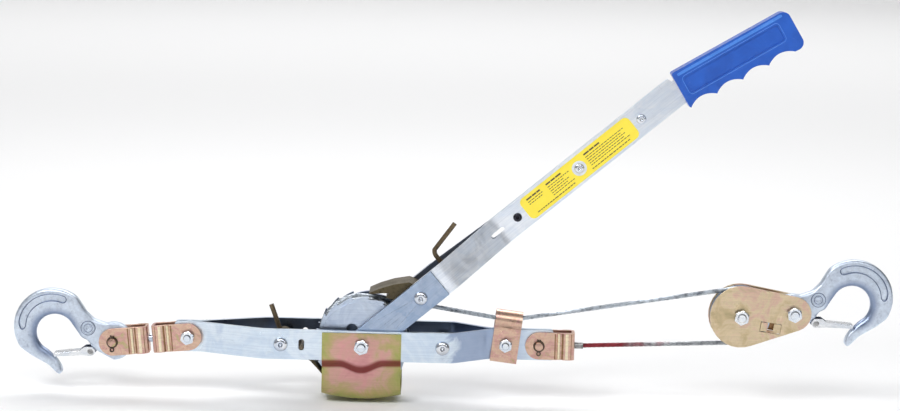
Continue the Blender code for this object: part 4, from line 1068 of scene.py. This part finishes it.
def grip():
    """A moulded grip, deeper at its far end, with finger notches below, a painted highlight band near the top and a
    sunk panel.
    """
    start, length, side = 427.0, 136.0, 10.0
    top, crest, deeper, notch = 19.3, -22.1, 3.2, 6.0
    pitch, notches, corner = 30.4, 4, 8.0
    end = start + length

    def underside(s):
        t = (s - start - 1.3) / pitch
        cut_in = notch * abs(sin(pi * t)) ** 0.8 if 0 < t < notches else 0.0
        return crest - deeper * (s - start) / length + cut_in

    low = underside(end)
    outline = [(start, underside(start) + 1.5), (start, top - 2), (start + 0.6, top - 0.6), (start + 2, top)]
    outline += arc((end - corner, top - 1.3 - corner), corner, 90, 0, 9)
    outline += arc((end - corner, low + corner), corner, 0, -90, 9)
    count = 24
    steps = range(count * notches, -1, -1)
    outline += [(start + 1.3 + pitch * k / count, underside(start + 1.3 + pitch * k / count)) for k in steps]
    shape = on_handle([past_bend(s, n) for s, n in outline])
    made = piece("grip_body", plate(shape, [], -side + 0.05, side - 0.05), "blue", "handle", "handle_grip", 0)
    well = [(start - 9, 10.9), (552, 10.9), (552, -10.9), (start - 9, -10.9)]
    cut(made, plate(on_handle([past_bend(s, n) for s, n in well]), [], -3.7, 3.7))
    panel = on_handle([past_bend(s, n) for s, n in rounded_box(start + 9, start + 120, -8.8, 9.2, 3.0)])
    for sign in (-1, 1):
        cut(made, plate(panel, [], *sorted((sign * (side + 1), sign * (side - 1.3)))))
    soften(made, 1.5, 4, 32.0)
    made.modifiers["edges"].use_clamp_overlap = True
    for sign in (-1, 1):
        frame_line = rounded_box(start + 7.2, start + 121.8, -10.6, 11.0, 4.4)
        line = [past_bend(s, n) for s, n in frame_line]
        path = [(x, sign * (side - 0.28), z) for x, z in on_handle(line)]
        name = "front" if sign < 0 else "rear"
        piece(f"grip_bead_{name}", tidy(tube(path, 0.32, 8, closed=True)), "blue_mark", "handle", width=0)
        # painted highlight: a lighter strip along the top of each side face, standing in for light on the rounded top
        # edge
        band = [past_bend(s, n) for s, n in rounded_box(start + 5, end - 7, 13.4, 16.4, 1.4)]
        strip = plate(on_handle(band), [], *sorted((sign * (side - 0.4), sign * (side + 0.0))))
        piece(f"grip_highlight_band_{name}", strip, "blue_mark", "handle", width=0.25)


def drive_lever():
    """A bent rod with flat ends, on a cross pin that turns between the straps."""
    rod = [(LEVER_S, 1.5), (LEVER_S - 0.2, 20.5)]
    rod += [(LEVER_S + 8.8 + 9.0 * cos(a), 21.0 + 9.0 * sin(a)) for a in (radians(180 - 8 * i) for i in range(1, 7))]
    rod += [(155.2, 36.1)]
    rod[-1] = (155.2, 36.1)
    path = [(x, 0, z) for x, z in on_handle(rod)]
    bm = tube(path, [2.5] * (len(path) - 1) + [2.5], 20)
    pin = [(0, -19.2), (2.5, -19.2), (3.0, -18.7), (3.0, 18.7), (2.5, 19.2), (0, 19.2)]
    cross = spun(pin, on_handle([(LEVER_S, 0)])[0], 32)
    collar = washer(2.9, 4.6, -3.4, 3.4, on_handle([(LEVER_S, 0)])[0])
    piece("lever_rod", joined(tidy(bm), cross, collar), "lever_brown", "drive_lever", "drive_lever", 0)


# ---- pawls ---------------------------------------------------------------------------------


def coil_spring(node, centre, radius, wire, half, turns, start, body, legs):
    """A torsion spring round a pivot, with a straight leg at each end."""
    count = turns * 24
    path = []
    for i in range(count + 1):
        a = start + 2 * pi * i / 24
        path.append((centre[0] + radius * cos(a), -half + 2 * half * i / count, centre[1] + radius * sin(a)))
    first, last = path[0], path[-1]
    path = [(first[0] + legs[0][0], first[1], first[2] + legs[0][1])] + path
    path.append((last[0] + legs[1][0], last[1], last[2] + legs[1][1]))
    piece(f"{node}_coil", tidy(tube(path, wire / 2, 8)), "spring_wire", body, node, 0)


def pawls():
    carried("drive_pawl", "pawl_brown", 0.5, 3)
    carried("stop_pawl", "pawl_brown", 0.5, 3)
    carried("stop_pawl_lever", "lever_brown", 0.4, 3)
    place = on_handle([(PAWL_S, 0)])[0]
    lean = on_handle([(-1.6, 3.0)])[0]
    coil_spring("drive_pawl_spring", place, 4.9, 1.3, 6.4, 7, HANDLE_TURN + pi / 2, "drive_pawl", ((0.5, 1.0), lean))
    coil_spring("stop_pawl_spring", (-RIVET_X, 0), 4.9, 1.2, 2.0, 2, pi, "stop_pawl", ((0.3, -1.2), (0.4, 1.2)))


# ---- brackets, hooks and block -------------------------------------------------------------


def resampled(points, step, closed=True):
    """A smooth line through the points, sampled about every step."""
    dense = []
    ends = list(zip(points, points[1:] + (points[:1] if closed else [])))
    for a, b in ends if closed else ends[: len(points) - 1]:
        count = max(1, round((Vector(b) - Vector(a)).length / step))
        dense += [tuple(Vector(a).lerp(Vector(b), i / count)) for i in range(count)]
    if not closed:
        dense.append(points[-1])
    last = len(dense) - 1
    for _ in range(3):
        keep = dense[:]
        for i in range(len(dense)):
            if not closed and i in (0, last):
                continue
            a, b, c = Vector(keep[i - 1]), Vector(keep[i]), Vector(keep[(i + 1) % len(keep)])
            dense[i] = tuple(b.lerp((a + c) / 2, 0.5))
    return dense


def rounded_slab(outline, holes, half, radius_at, steps=6):
    """A thick plate whose rim is rounded inwards by radius_at(point), the same on both faces."""
    count = len(outline)
    area = sum(a[0] * b[1] - b[0] * a[1] for a, b in zip(outline, outline[1:] + outline[:1]))
    way = 1 if area > 0 else -1
    inward, radii = [], []
    for i in range(count):
        d = Vector(outline[(i + 1) % count]) - Vector(outline[i - 1])
        inward.append(Vector((-d.y, d.x)).normalized() * way)
        radii.append(radius_at(outline[i]))
    for _ in range(8):
        radii = [(radii[i - 1] + radii[i] + radii[(i + 1) % count]) / 3 for i in range(count)]
    bm = bmesh.new()
    rings = []
    angles = [pi / 2 - pi / 2 * k / steps for k in range(steps + 1)]
    for side, order in ((-1, angles), (1, angles[::-1])):
        for a in order:
            ring = []
            for point, n, r in zip(outline, inward, radii):
                p = Vector(point) + n * r * (1 - cos(a))
                ring.append(bm.verts.new((p.x, side * (half - r * (1 - sin(a))), p.y)))
            rings.append(ring)
    for low, high in zip(rings, rings[1:]):
        for k in range(count):
            n = (k + 1) % count
            bm.faces.new((low[k], low[n], high[n], high[k]))
    inner = [[], []]
    for hole in holes:
        for index, (ring, y) in enumerate(((rings[0], -half), (rings[-1], half))):
            inner[index].append([bm.verts.new((x, y, z)) for x, z in hole])
    for index, ring in enumerate((rings[0], rings[-1])):
        edges = []
        for loop in (ring, *inner[index]):
            for a, b in zip(loop, loop[1:] + loop[:1]):
                edges.append(bm.edges.get((a, b)) or bm.edges.new((a, b)))
        bmesh.ops.triangle_fill(bm, edges=edges, use_beauty=True, normal=(0, -1, 0))
    for front, back in zip(*inner):
        for k in range(len(front)):
            n = (k + 1) % len(front)
            bm.faces.new((front[k], front[n], back[n], back[k]))
    return tidy(bm)


TIP = (57.6, -36.0)


def hook_outline():
    outer = arc((0, 0), 20.2, 268, 70, 6)
    outer += [(20.2, 23.7), (28.1, 31.7), (35.0, 43.2)]
    outer += arc((64.0, 15.5), 41.4, 128, -32, 4)
    outer += [(88.0, -15.0), (70.1, -25.2), (60.3, -34.8), (57.6, -36.0), (55.2, -33.6)]
    inner = [(56.2, -27.5), (60.2, -20.2), (70.1, -9.8)]
    inner += arc((61.6, 8.8), 20.4, -48, 142, 5)
    inner += [(33.7, 3.7), (27.5, 1.4), (21.6, -7.6)]
    return outer + inner


def rim_radius(point):
    """How far the forging's edge is rounded: broad inside the bowl, slighter outside, least at the tip."""
    p = Vector(point)
    bowl = (p - Vector((61.6, 8.8))).length
    wide = 5.2 - 2.0 * min(1.0, max(0.0, (bowl - 22.0) / 8.0))
    return min(wide, 1.3 + 0.13 * (p - Vector(TIP)).length, 1.4 + 0.28 * max(0.0, p.length - 18.0))


STEPS = [2 * pi * k / 48 for k in range(48)]


def crescent_outline():
    """The sunk panel that follows the back of the bowl, tapering to its lower end."""
    outer = arc((64.0, 15.5), 36.0, 112, 8, 4)
    foot = [(98.6, 15.6), (96.6, 12.6), (94.0, 13.6)]
    inner = arc((64.0, 15.5), 28.4, 2, 112, 4)
    head = arc((51.9, 45.3), 3.9, 262, 142, 20)
    return outer + foot + inner + head


def hook(node, eye, facing, body):
    local = resampled(hook_outline(), 1.3)
    crescent = resampled(crescent_outline(), 1.2)
    if facing < 0:
        local, crescent = mirrored(local), mirrored(crescent)

    def radius_at(point):
        return rim_radius((point[0] * facing, point[1]))

    put = Matrix.Translation((eye[0], 0, eye[1])) @ Matrix.Rotation(-HOOK_ROLL, 4, "Y")
    bm = rounded_slab(local, [circle((0, 0), 5.2, 40)], 5.9, radius_at, 7)
    bm.transform(put)
    made = piece(f"{node}_forging", bm, "forged", body, node, 0)
    for side in (-1, 1):
        pocket = plate(turned(crescent, HOOK_ROLL, eye), [], *sorted((side * 4.5, side * 8.0)))
        cut(made, pocket)
    creased(made, 42.0)
    # the rings and outlines in forged_shade are thin dark tubes of painted shade along the boss's edges and round the
    # sunk pocket
    bosses, lines = [], []
    for side in (-1, 1):
        for radius, rise, kind in ((6.4, 0.9, bosses), (2.4, 0.9, bosses), (7.5, 0.45, lines), (4.4, 0.4, lines)):
            path = [(26.0 * facing + radius * cos(a), side * 5.75, 14.6 + radius * sin(a)) for a in STEPS]
            kind.append(tidy(tube(path, rise, 10, closed=True)))
        lines.append(tidy(tube([(x, side * 5.85, z) for x, z in crescent], 0.5, 8, closed=True)))
    for name, made, material in (("bosses", bosses, "forged"), ("lines", lines, "forged_shade")):
        whole = joined(*made)
        whole.transform(put)
        piece(f"{node}_{name}", whole, material, body, width=0)


def latch(node, eye, facing, body):
    """The gate keeps its CAD shape; its pivot rivet and closing spring are added."""
    carried(node, "latch_zinc", 0.35, 2)
    root = (24.0 * facing, -10.4)
    put = Matrix.Translation((eye[0], 0, eye[1])) @ Matrix.Rotation(-HOOK_ROLL, 4, "Y")
    half = [(2.0, 7.6)] + [(3.0 * r, 7.9 + 0.9 * y) for r, y in ((1, 0), (0.95, 0.5), (0.7, 0.9), (0.3, 1.0), (0, 1.0))]
    rivet_bm = spun([(r, -y) for r, y in half[::-1]] + half, root, 32)
    coils = []
    for side in (-1, 1):
        path = []
        for i in range(60):
            a = radians(100 + 15 * i)
            path.append((root[0] + 3.6 * facing * cos(a), side * (6.55 + 1.1 * i / 60), root[1] + 3.6 * sin(a)))
        coils.append(tidy(tube(path, 0.42, 8)))
    whole = joined(rivet_bm, *coils)
    whole.transform(put)
    piece(f"{node}_pivot", whole, "spring_wire", body, width=0)


def anchor_chain():
    carried("anchor_bracket", "gold", 0.45, 3)
    carried("hook_bracket", "gold", 0.45, 3)
    carried("swivel_rivet", "rivet_zinc", 0.3, 2)
    carried("dead_end_bracket", "gold", 0.45, 3)
    carried("cable_stop", "spring_wire", 0.4, 3)
    reach = EAR[1] + 3.6
    clevis_pin("anchor_hook_pin", ANCHOR_EYE, 4.7, reach, "anchor_clevis")
    cotter("anchor_hook_cotter", ANCHOR_EYE, 4.7, reach, "anchor_clevis")
    clevis_pin("dead_end_pin", (DEAD_END_X, 0.0), 4.7, reach, "dead_end_clevis")
    cotter("dead_end_cotter", (DEAD_END_X, 0.0), 4.7, reach, "dead_end_clevis")


def ribs():
    """Pressed ribs across the brackets' cheeks: ribs in a painted-highlight gold, with thin dark rods of painted shade
    in the furrows between them.
    """
    turn = pi + CHAIN_TILT
    sets = (
        ("anchor_bracket", (FRAME_BOLT_X, 0.0), turn, "anchor_bracket"),
        ("hook_bracket", ANCHOR_EYE, CHAIN_TILT, "anchor_clevis"),
        ("dead_end_bracket", (DEAD_END_X, 0.0), 0.0, "dead_end_clevis"),
    )
    for node, pin, direction, body in sets:
        rods, groove_shades = [], []
        # painted light: the rib rods take highlight gold, and the thin dark rods between them are painted shade
        kinds = ((17.2, 0.9, 0.3, groove_shades), (21.2, 1.7, 0.5, rods), (25.2, 1.0, 0.5, groove_shades))
        kinds += ((29.6, 2.3, 1.5, rods), (33.8, 0.9, 0.6, groove_shades))
        for side in (-1, 1):
            for x, radius, top, kind in kinds:
                y = side * (EAR[1] + top - radius)
                ends = [(x, y, -EAR_R + 0.9), (x, y, EAR_R - 0.9)]
                kind.append(tidy(tube(ends, radius, 20)))
        for name, made, material in (("ribs", rods, "gold_light"), ("groove_shades", groove_shades, "gold_shade")):
            whole = joined(*made)
            whole.transform(Matrix.Translation((pin[0], 0, pin[1])) @ Matrix.Rotation(-direction, 4, "Y"))
            piece(f"{node}_{name}", whole, material, body, width=0)


def load_block():
    for side in ("front", "rear"):
        carried(f"block_plate_{side}", "block_gold", 0.5, 3)
    end = (BLOCK_PLATE[1] + 0.3, BLOCK_PLATE[1] + 7.0)
    for name, place, turn in (("block_axle", BLOCK_AXLE, 8), ("block_hook_bolt", BLOCK_BOLT, 22)):
        hex_pair(name, f"{name}_nut", "load_block", place, SHAFT_R, 14.3, *end, end[1] + 2.3, (turn, turn + 15))
    tilt, middle = radians(-8), (431.8, 26.0)
    for side, name in ((-1, "front"), (1, "rear")):
        tabs = []
        lanced = ((-10.8, -3.4, 6.8), (10.8, 3.4, 7.6)) if side < 0 else ((-10.8, 8.6, 5.9),)
        for root, end_x, deep in lanced:
            rows = []
            for z in (-4.8, 0.0, 4.8):
                line = [(root, 8.9), (root * 0.85 + end_x * 0.15, 8.7), (end_x, deep)]
                rows.append([(x, y, z) for x, y in line])
            bm = sheet_from(rows, 1.0)
            bm.transform(Matrix.Diagonal((1, side, 1, 1)))
            bm.transform(Matrix.Translation((middle[0], 0, middle[1])) @ Matrix.Rotation(-tilt, 4, "Y"))
            tabs.append(tidy(bm))
        # painted shade: the rear tabs are drawn in dark shade gold so the window through the block reads dark
        piece(f"block_tabs_{name}", joined(*tabs), "block_gold" if side < 0 else "gold_shade", "load_block", width=0)
    bottom, rim, half = SHEAVE_R - CABLE / 2 - 0.1, 31.6, 5.6
    groove = [(rim - 0.4, half), (rim, half - 0.3), (rim, 4.9), (rim - 0.3, 4.4)]
    centre = [(bottom + 2.5 - 2.5 * cos(radians(a)), 2.6 * sin(radians(a))) for a in range(80, -81, -16)]
    groove += centre + [(r, -y) for r, y in groove[::-1]]
    groove += [(12.0, -half), (11.5, -half + 0.6), (8.5, -half + 0.6), (8.0, -half), (BORE_R, -half), (BORE_R, half)]
    groove += [(8.0, half), (8.5, half - 0.6), (11.5, half - 0.6), (12.0, half)]
    piece("sheave_wheel", spun(groove, BLOCK_AXLE, 72, whole=True), "wheel_steel", "sheave", "sheave", 0)


# ---- rope ----------------------------------------------------------------------------------

WRAP_TOP = radians(99.6)
WRAP_BOTTOM = radians(-90.4)


def stranded(path, radius=CABLE / 2, lay=30.0, step=2.0, sides=7, phase=0.0, core=True):
    """Six strands laid round a seventh along a line of points."""
    points = [Vector(p) for p in path]
    runs = [0.0]
    for a, b in zip(points, points[1:]):
        runs.append(runs[-1] + (b - a).length)
    count = max(2, round(runs[-1] / step))
    line, k = [], 0
    for i in range(count + 1):
        want = runs[-1] * i / count
        while k < len(points) - 2 and runs[k + 1] < want:
            k += 1
        line.append(points[k].lerp(points[k + 1], (want - runs[k]) / (runs[k + 1] - runs[k])))
    frames = []
    side = Vector((0, 1, 0.001)).normalized()
    for i, point in enumerate(line):
        along = (line[min(i + 1, count)] - line[max(i - 1, 0)]).normalized()
        side = (side - along * side.dot(along)).normalized()
        frames.append((point, side.copy(), along.cross(side)))
    bm = bmesh.new()
    for strand in range(6):
        route = []
        for i, (point, u, v) in enumerate(frames):
            a = phase + 2 * pi * (strand / 6 + runs[-1] * i / count / lay)
            route.append(point + radius * 0.655 * (cos(a) * u + sin(a) * v))
        tube(route, radius * 0.345, sides, bm)
    if core:
        tube([f[0] for f in frames], radius * 0.36, 6, bm)
    return bm


def ropes():
    start = Vector((16.0, 0.0, (CORE_R + CABLE * 1.5 + 3.5) * sin(radians(97.0)) - 0.8))
    kink = Vector((156.0, 0.0, 25.6))
    top = Vector((BLOCK_AXLE[0] + SHEAVE_R * cos(WRAP_TOP), 0, BLOCK_AXLE[1] + SHEAVE_R * sin(WRAP_TOP)))
    low = Vector((BLOCK_AXLE[0] + SHEAVE_R * cos(WRAP_BOTTOM), 0, BLOCK_AXLE[1] + SHEAVE_R * sin(WRAP_BOTTOM)))
    stop = Vector((DEAD_END_X + PIN_TO_WEB - 3.2 + 12.3, 0, 0))
    out = (kink - start).normalized()
    leave = atan2(out.x, -out.z)
    tangent_r = abs(start.x * out.z - start.z * out.x)
    wrap = []
    for i in range(25):
        a = pi - leave + radians(78.0) * (1 - i / 24)
        r = tangent_r - 3.4 * (1 - i / 24) ** 2
        wrap.append((r * cos(a), 0.0, r * sin(a)))
    near = kink - out * 9
    bend = [kink + Vector((x, 0, z)) for x, z in ((-5.0, 0.7), (0.0, 0.35), (5.0, 0.8))]
    far = kink + (top - kink).normalized() * 12
    lead = [Vector(p) for p in wrap] + [start, near, *bend, far]
    piece("rope_drum_to_guide", stranded(lead), "rope", "frame", "cable_drum_to_guide", 0)
    over = piece("rope_to_block", stranded([far, top], phase=1.0), "rope", None, "cable_guide_to_block", 0, place=False)
    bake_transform(over)
    round_sheave = []
    for i in range(29):
        a = WRAP_TOP - (WRAP_TOP - WRAP_BOTTOM) * i / 28
        round_sheave.append((BLOCK_AXLE[0] + SHEAVE_R * cos(a), 0, BLOCK_AXLE[1] + SHEAVE_R * sin(a)))
    piece("rope_round_sheave", stranded(round_sheave, CABLE / 2 - 0.1, phase=2.0), "rope", "load_block", "cable_on_sheave", 0)
    split = stop.lerp(low, 0.23)
    under = stranded([split, low], phase=0.5)
    back = piece("rope_from_block", under, "rope_red", None, "cable_block_to_anchor", 0, place=False)
    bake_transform(back)
    tail = stranded([stop, split], phase=0.5 - 2 * pi * (split - stop).length / 30.0)
    end = piece("rope_to_ferrule", tail, "rope_red", None, (), 0, place=False)
    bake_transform(end)
    turns, gap = 6, 2 * (WINDING - 0.2) / 6
    layer = CORE_R + 2 * CABLE + 0.9 - CABLE / 2
    helix = []
    for i in range(turns * 48 - 6):
        a = radians(120) - 2 * pi * i / 48
        helix.append((layer * cos(a), -WINDING + 0.2 + gap * (0.42 + i / 48), layer * sin(a)))
    helix = [p for p in helix if p[1] < WINDING - 2.4]
    wound = stranded(helix, gap / 2, lay=32.0, step=3.0, sides=6, core=False)
    base = spun([(CORE_R + 0.3, WINDING - 0.5), (CORE_R + 0.3, -WINDING + 0.5), (layer - 0.6, -WINDING + 0.5), (layer - 0.6, WINDING - 0.5)], (0, 0), 72, whole=True)
    piece("rope_on_drum", joined(wound, base), "rope", "drum", "cable_on_drum", 0)


# ---- floor, light and camera ---------------------------------------------------------------


def stage():
    """A pale floor that curves up into a backdrop."""
    low = CAD_BOX[0].z - 0.004
    profile = [(-9.0, low), (9.0, low)]
    profile += [(9.0 + 1.6 * sin(radians(a)), low + 1.6 - 1.6 * cos(radians(a))) for a in range(6, 91, 6)]
    profile += [(10.6, low + 3.0)]
    bm = bmesh.new()
    rows = [[bm.verts.new((x, y, z)) for y, z in profile] for x in (-11.0, 12.0)]
    for i in range(len(profile) - 1):
        bm.faces.new((rows[0][i], rows[1][i], rows[1][i + 1], rows[0][i + 1]))
    for face in bm.faces:
        face.smooth = True
    mesh = bpy.data.meshes.new("floor")
    bm.to_mesh(mesh)
    bm.free()
    floor = bpy.data.objects.new("floor", mesh)
    bpy.context.scene.collection.objects.link(floor)
    t = Tree("floor_paper")
    t.set(Base_Color=(0.93, 0.93, 0.93), Roughness=0.75)
    t.shader.inputs["Specular IOR Level"].default_value = 0.1
    floor.data.materials.append(t.material)


def area_light(name, place, target, size, power, colour=(1, 1, 1)):
    data = bpy.data.lights.new(name, "AREA")
    data.shape = "RECTANGLE"
    data.size, data.size_y = size
    data.energy = power
    data.color = colour
    lamp = bpy.data.objects.new(name, data)
    bpy.context.scene.collection.objects.link(lamp)
    lamp.location = place
    lamp.rotation_euler = (Vector(target) - Vector(place)).to_track_quat("-Z", "Y").to_euler()
    return lamp


def lights():
    world_data = bpy.data.worlds.new("studio")
    bpy.context.scene.world = world_data
    world_data.use_nodes = True
    tree = world_data.node_tree
    background = tree.nodes["Background"]
    coords = tree.nodes.new("ShaderNodeTexCoord")
    split = tree.nodes.new("ShaderNodeSeparateXYZ")
    ramp = tree.nodes.new("ShaderNodeValToRGB")
    tree.links.new(coords.outputs["Generated"], split.inputs[0])
    span = tree.nodes.new("ShaderNodeMapRange")
    span.inputs["From Min"].default_value = -1.0
    tree.links.new(split.outputs["Z"], span.inputs["Value"])
    tree.links.new(span.outputs["Result"], ramp.inputs["Fac"])
    stops = [(0.0, 0.55), (0.44, 0.6), (0.52, 0.62), (0.62, 0.85), (0.80, 1.0), (1.0, 0.8)]
    while len(ramp.color_ramp.elements) < len(stops):
        ramp.color_ramp.elements.new(0.5)
    for element, (place, value) in zip(ramp.color_ramp.elements, stops):
        element.position = place
        element.color = (value, value, value * 1.02, 1.0)
    sideways = tree.nodes.new("ShaderNodeMapRange")
    sideways.inputs["From Min"].default_value = -1.0
    sideways.inputs["To Min"].default_value = 1.25
    sideways.inputs["To Max"].default_value = 0.35
    tree.links.new(split.outputs["X"], sideways.inputs["Value"])
    shade = tree.nodes.new("ShaderNodeVectorMath")
    shade.operation = "SCALE"
    tree.links.new(ramp.outputs["Color"], shade.inputs[0])
    tree.links.new(sideways.outputs["Result"], shade.inputs["Scale"])
    tree.links.new(shade.outputs["Vector"], background.inputs["Color"])
    background.inputs["Strength"].default_value = 0.36
    middle = (0.45, 0.0, 0.1)
    area_light("key", (-0.9, -1.7, 2.1), middle, (0.9, 0.8), 27)
    area_light("fill", (2.2, -1.8, 1.0), middle, (0.8, 0.8), 5, (0.92, 0.96, 1.0))
    area_light("front_floor", (0.6, -2.3, 2.0), (0.6, -2.2, 0.0), (2.6, 1.6), 38)
    area_light("rim", (0.4, 1.6, 1.9), middle, (2.2, 0.8), 16)
    area_light("backdrop", (0.45, 5.2, 5.0), (0.45, 5.4, 0.0), (9.0, 6.5), 330)


def camera():
    elevation, roll, distance = radians(8.5), radians(1.475), 2.2
    aim = DRUM_AT + Vector((89.1, 0.0, 147.0)) * MM
    forward = Vector((0.0, cos(elevation), -sin(elevation)))
    right, up = Vector((1.0, 0.0, 0.0)), Vector((0.0, sin(elevation), cos(elevation)))
    right, up = right * cos(roll) + up * sin(roll), up * cos(roll) - right * sin(roll)
    data = bpy.data.cameras.new("camera")
    data.sensor_width = 36.0
    data.lens = 36.0 * distance / 0.9495
    data.dof.use_dof = False
    data.clip_end = 50.0
    cam = bpy.data.objects.new("camera", data)
    bpy.context.scene.collection.objects.link(cam)
    axes = Matrix((right, up, -forward)).transposed().to_4x4()
    cam.matrix_world = Matrix.Translation(aim - forward * distance) @ axes
    bpy.context.scene.camera = cam


# ---- the whole -----------------------------------------------------------------------------


def main():
    camera()
    stage()
    lights()
    frame_bars()
    frame_fasteners()
    drum_guard()
    cable_guide()
    drum()
    handle_straps()
    handle_fasteners()
    label()
    grip()
    drive_lever()
    pawls()
    anchor_chain()
    ribs()
    for node, eye, facing in (("anchor", ANCHOR_EYE, -1), ("load", BLOCK_BOLT, 1)):
        hook(f"{node}_hook", eye, facing, f"{node}_hook")
        latch(f"{node}_latch", eye, facing, f"{node}_latch")
    load_block()
    ropes()
    bpy.context.scene.view_settings.view_transform = "Standard"


main()

bpy.context.view_layer.update()
